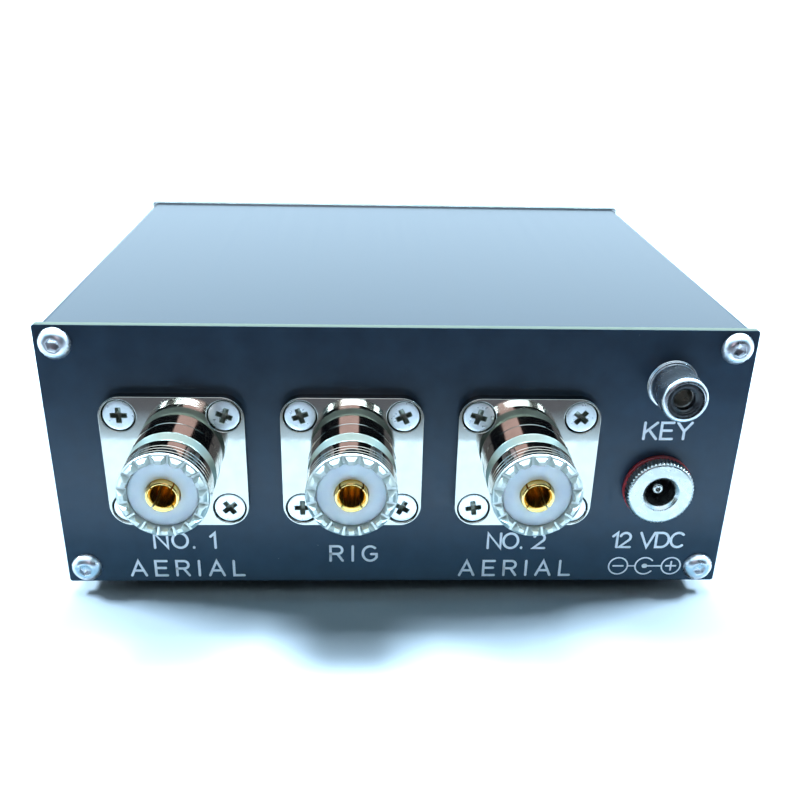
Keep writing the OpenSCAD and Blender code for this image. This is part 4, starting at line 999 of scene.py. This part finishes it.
def card(name, size_x, size_y, location, rotation, color, edge=None, fade=0.0):
    """A flat card that only shows in reflections, fading from edge to color along its first
    stretch of that length."""
    mat = bpy.data.materials.new(name)
    mat.use_nodes = True
    nodes = mat.node_tree.nodes
    nodes.remove(nodes["Principled BSDF"])
    glow = nodes.new("ShaderNodeEmission")
    glow.inputs["Color"].default_value = (*color, 1)
    links = mat.node_tree.links
    if edge:
        place = nodes.new("ShaderNodeSeparateXYZ")
        links.new(nodes.new("ShaderNodeTexCoord").outputs["Object"], place.inputs["Vector"])
        mix = nodes.new("ShaderNodeMix")
        mix.data_type = "RGBA"
        set_inputs(mix, {"A": (*edge, 1), "B": (*color, 1)})
        links.new(spread(nodes, links, place.outputs["Y"], 0.0, 1.0,
                         (size_y / 2, size_y / 2 - fade)), mix.inputs["Factor"])
        links.new(mix.outputs["Result"], glow.inputs["Color"])
    links.new(glow.outputs["Emission"], nodes["Material Output"].inputs["Surface"])
    obj = stage_plane(name, size_x, size_y, location, rotation, mat)
    obj.visible_camera = obj.visible_diffuse = obj.visible_shadow = False
    obj.visible_transmission = obj.visible_volume_scatter = False
    return obj


FLOOR = material("paper floor", (0.72, 0.73, 0.745), 0.7, tint=(0.7, 0.712, 0.73), mottle=(3, 0.6),
                 grain=(900, 0.05, 0.05))
floor = stage_plane("floor", 3.2, 2.2, (0, -0.1, 0), (0, 0, 0), FLOOR)

# What the plated metal mirrors: a table, a dark room, a warm object and a painted reflection of lit
# floor, laid over the box's shadow in front of the panel. The table also lights the matt faces.
table = card("grey_table", 2.4, 1.2, (0, (REAR_Y - 74) * MM - 0.6, 0.0006), (0, 0, 0),
             (0.2, 0.22, 0.27), (0.95, 1.35, 1.75), 0.02)
table.visible_diffuse = True
card("dark_room", 3.0, 0.75, (0, -0.75, 0.375), (math.radians(90), 0, 0), (0.004, 0.006, 0.012))
card("warm_card", 0.076, 0.06, (-0.022, -0.24, 0.12), (math.radians(62), 0, 0), (1.4, 1.1, 1.25))
# A glowing strip seen only in reflections, where the floor is in the box's shadow: painted
# reflection that lightens the panel's lower edge.
card("painted_floor_reflection", 0.5, 0.02, (0, (REAR_Y - 13) * MM, 0.0006), (0, 0, 0), (0.4, 0.85, 1.2))

world = bpy.data.worlds.new("studio")
bpy.context.scene.world = world
world.use_nodes = True
background = world.node_tree.nodes["Background"]
sky_nodes, sky_links = world.node_tree.nodes, world.node_tree.links
direction = sky_nodes.new("ShaderNodeTexCoord").outputs["Generated"]
height = sky_nodes.new("ShaderNodeSeparateXYZ")
sky_links.new(direction, height.inputs["Vector"])
sky = sky_nodes.new("ShaderNodeValToRGB")
ramp = sky.color_ramp
ramp.elements[0].position, ramp.elements[0].color = 0.3, (0.593, 0.813, 1.0, 1)
ramp.elements[1].position, ramp.elements[1].color = 0.85, (0.7, 0.87, 1.0, 1)
lower = ramp.elements.new(0.56)
lower.color = (0.28, 0.62, 0.92, 1)
sky_links.new(height.outputs["Z"], sky.inputs["Fac"])
sky_links.new(sky.outputs["Color"], background.inputs["Color"])
background.inputs["Strength"].default_value = 2.68
world.cycles_visibility.diffuse = False


def softbox(name, size_x, size_y, energy, location):
    """A soft area light that faces the object."""
    data = bpy.data.lights.new(name, "AREA")
    data.shape = "RECTANGLE"
    data.size, data.size_y, data.energy, data.color = size_x, size_y, energy, (0.56, 0.79, 1.0)
    lamp = bpy.data.objects.new(name, data)
    lamp.location = location
    lamp.rotation_euler = (-Vector(location)).to_track_quat("-Z", "Y").to_euler()
    link(lamp)


softbox("softbox_top", 1.8, 0.3, 95, (0, 0.56, 2.0))
for side, x in (("left", -1.6), ("right", 1.6)):
    softbox("softbox_" + side, 0.6, 0.4, 100, (x, 0.45, 1.5))

bpy.context.scene.view_settings.view_transform = "Standard"

camera = bpy.data.cameras.new("camera")
camera.lens = 43.34202
camera.sensor_width = 36
camera.shift_y = 0.1
camera.clip_start = 0.01
yaw, pitch, roll = 0.0457, 0.4667, 0.0229
cy, sy, cp, sp = math.cos(yaw), math.sin(yaw), math.cos(pitch), math.sin(pitch)
rows = Matrix(((1, 0, 0), (0, cp, -sp), (0, sp, cp))) @ Matrix(((cy, -sy, 0), (sy, cy, 0),
                                                                (0, 0, 1)))
right0, down0, forward = rows[0], -rows[2], rows[1]
cr, sr = math.cos(roll), math.sin(roll)
right = cr * right0 - sr * down0
down = sr * right0 + cr * down0
view = bpy.data.objects.new("camera", camera)
view.matrix_world = Matrix((
    (right.x, -down.x, -forward.x, -6.87 * MM),
    (right.y, -down.y, -forward.y, -213.31 * MM),
    (right.z, -down.z, -forward.z, 104.42 * MM),
    (0, 0, 0, 1)))
link(view)
bpy.context.scene.camera = view
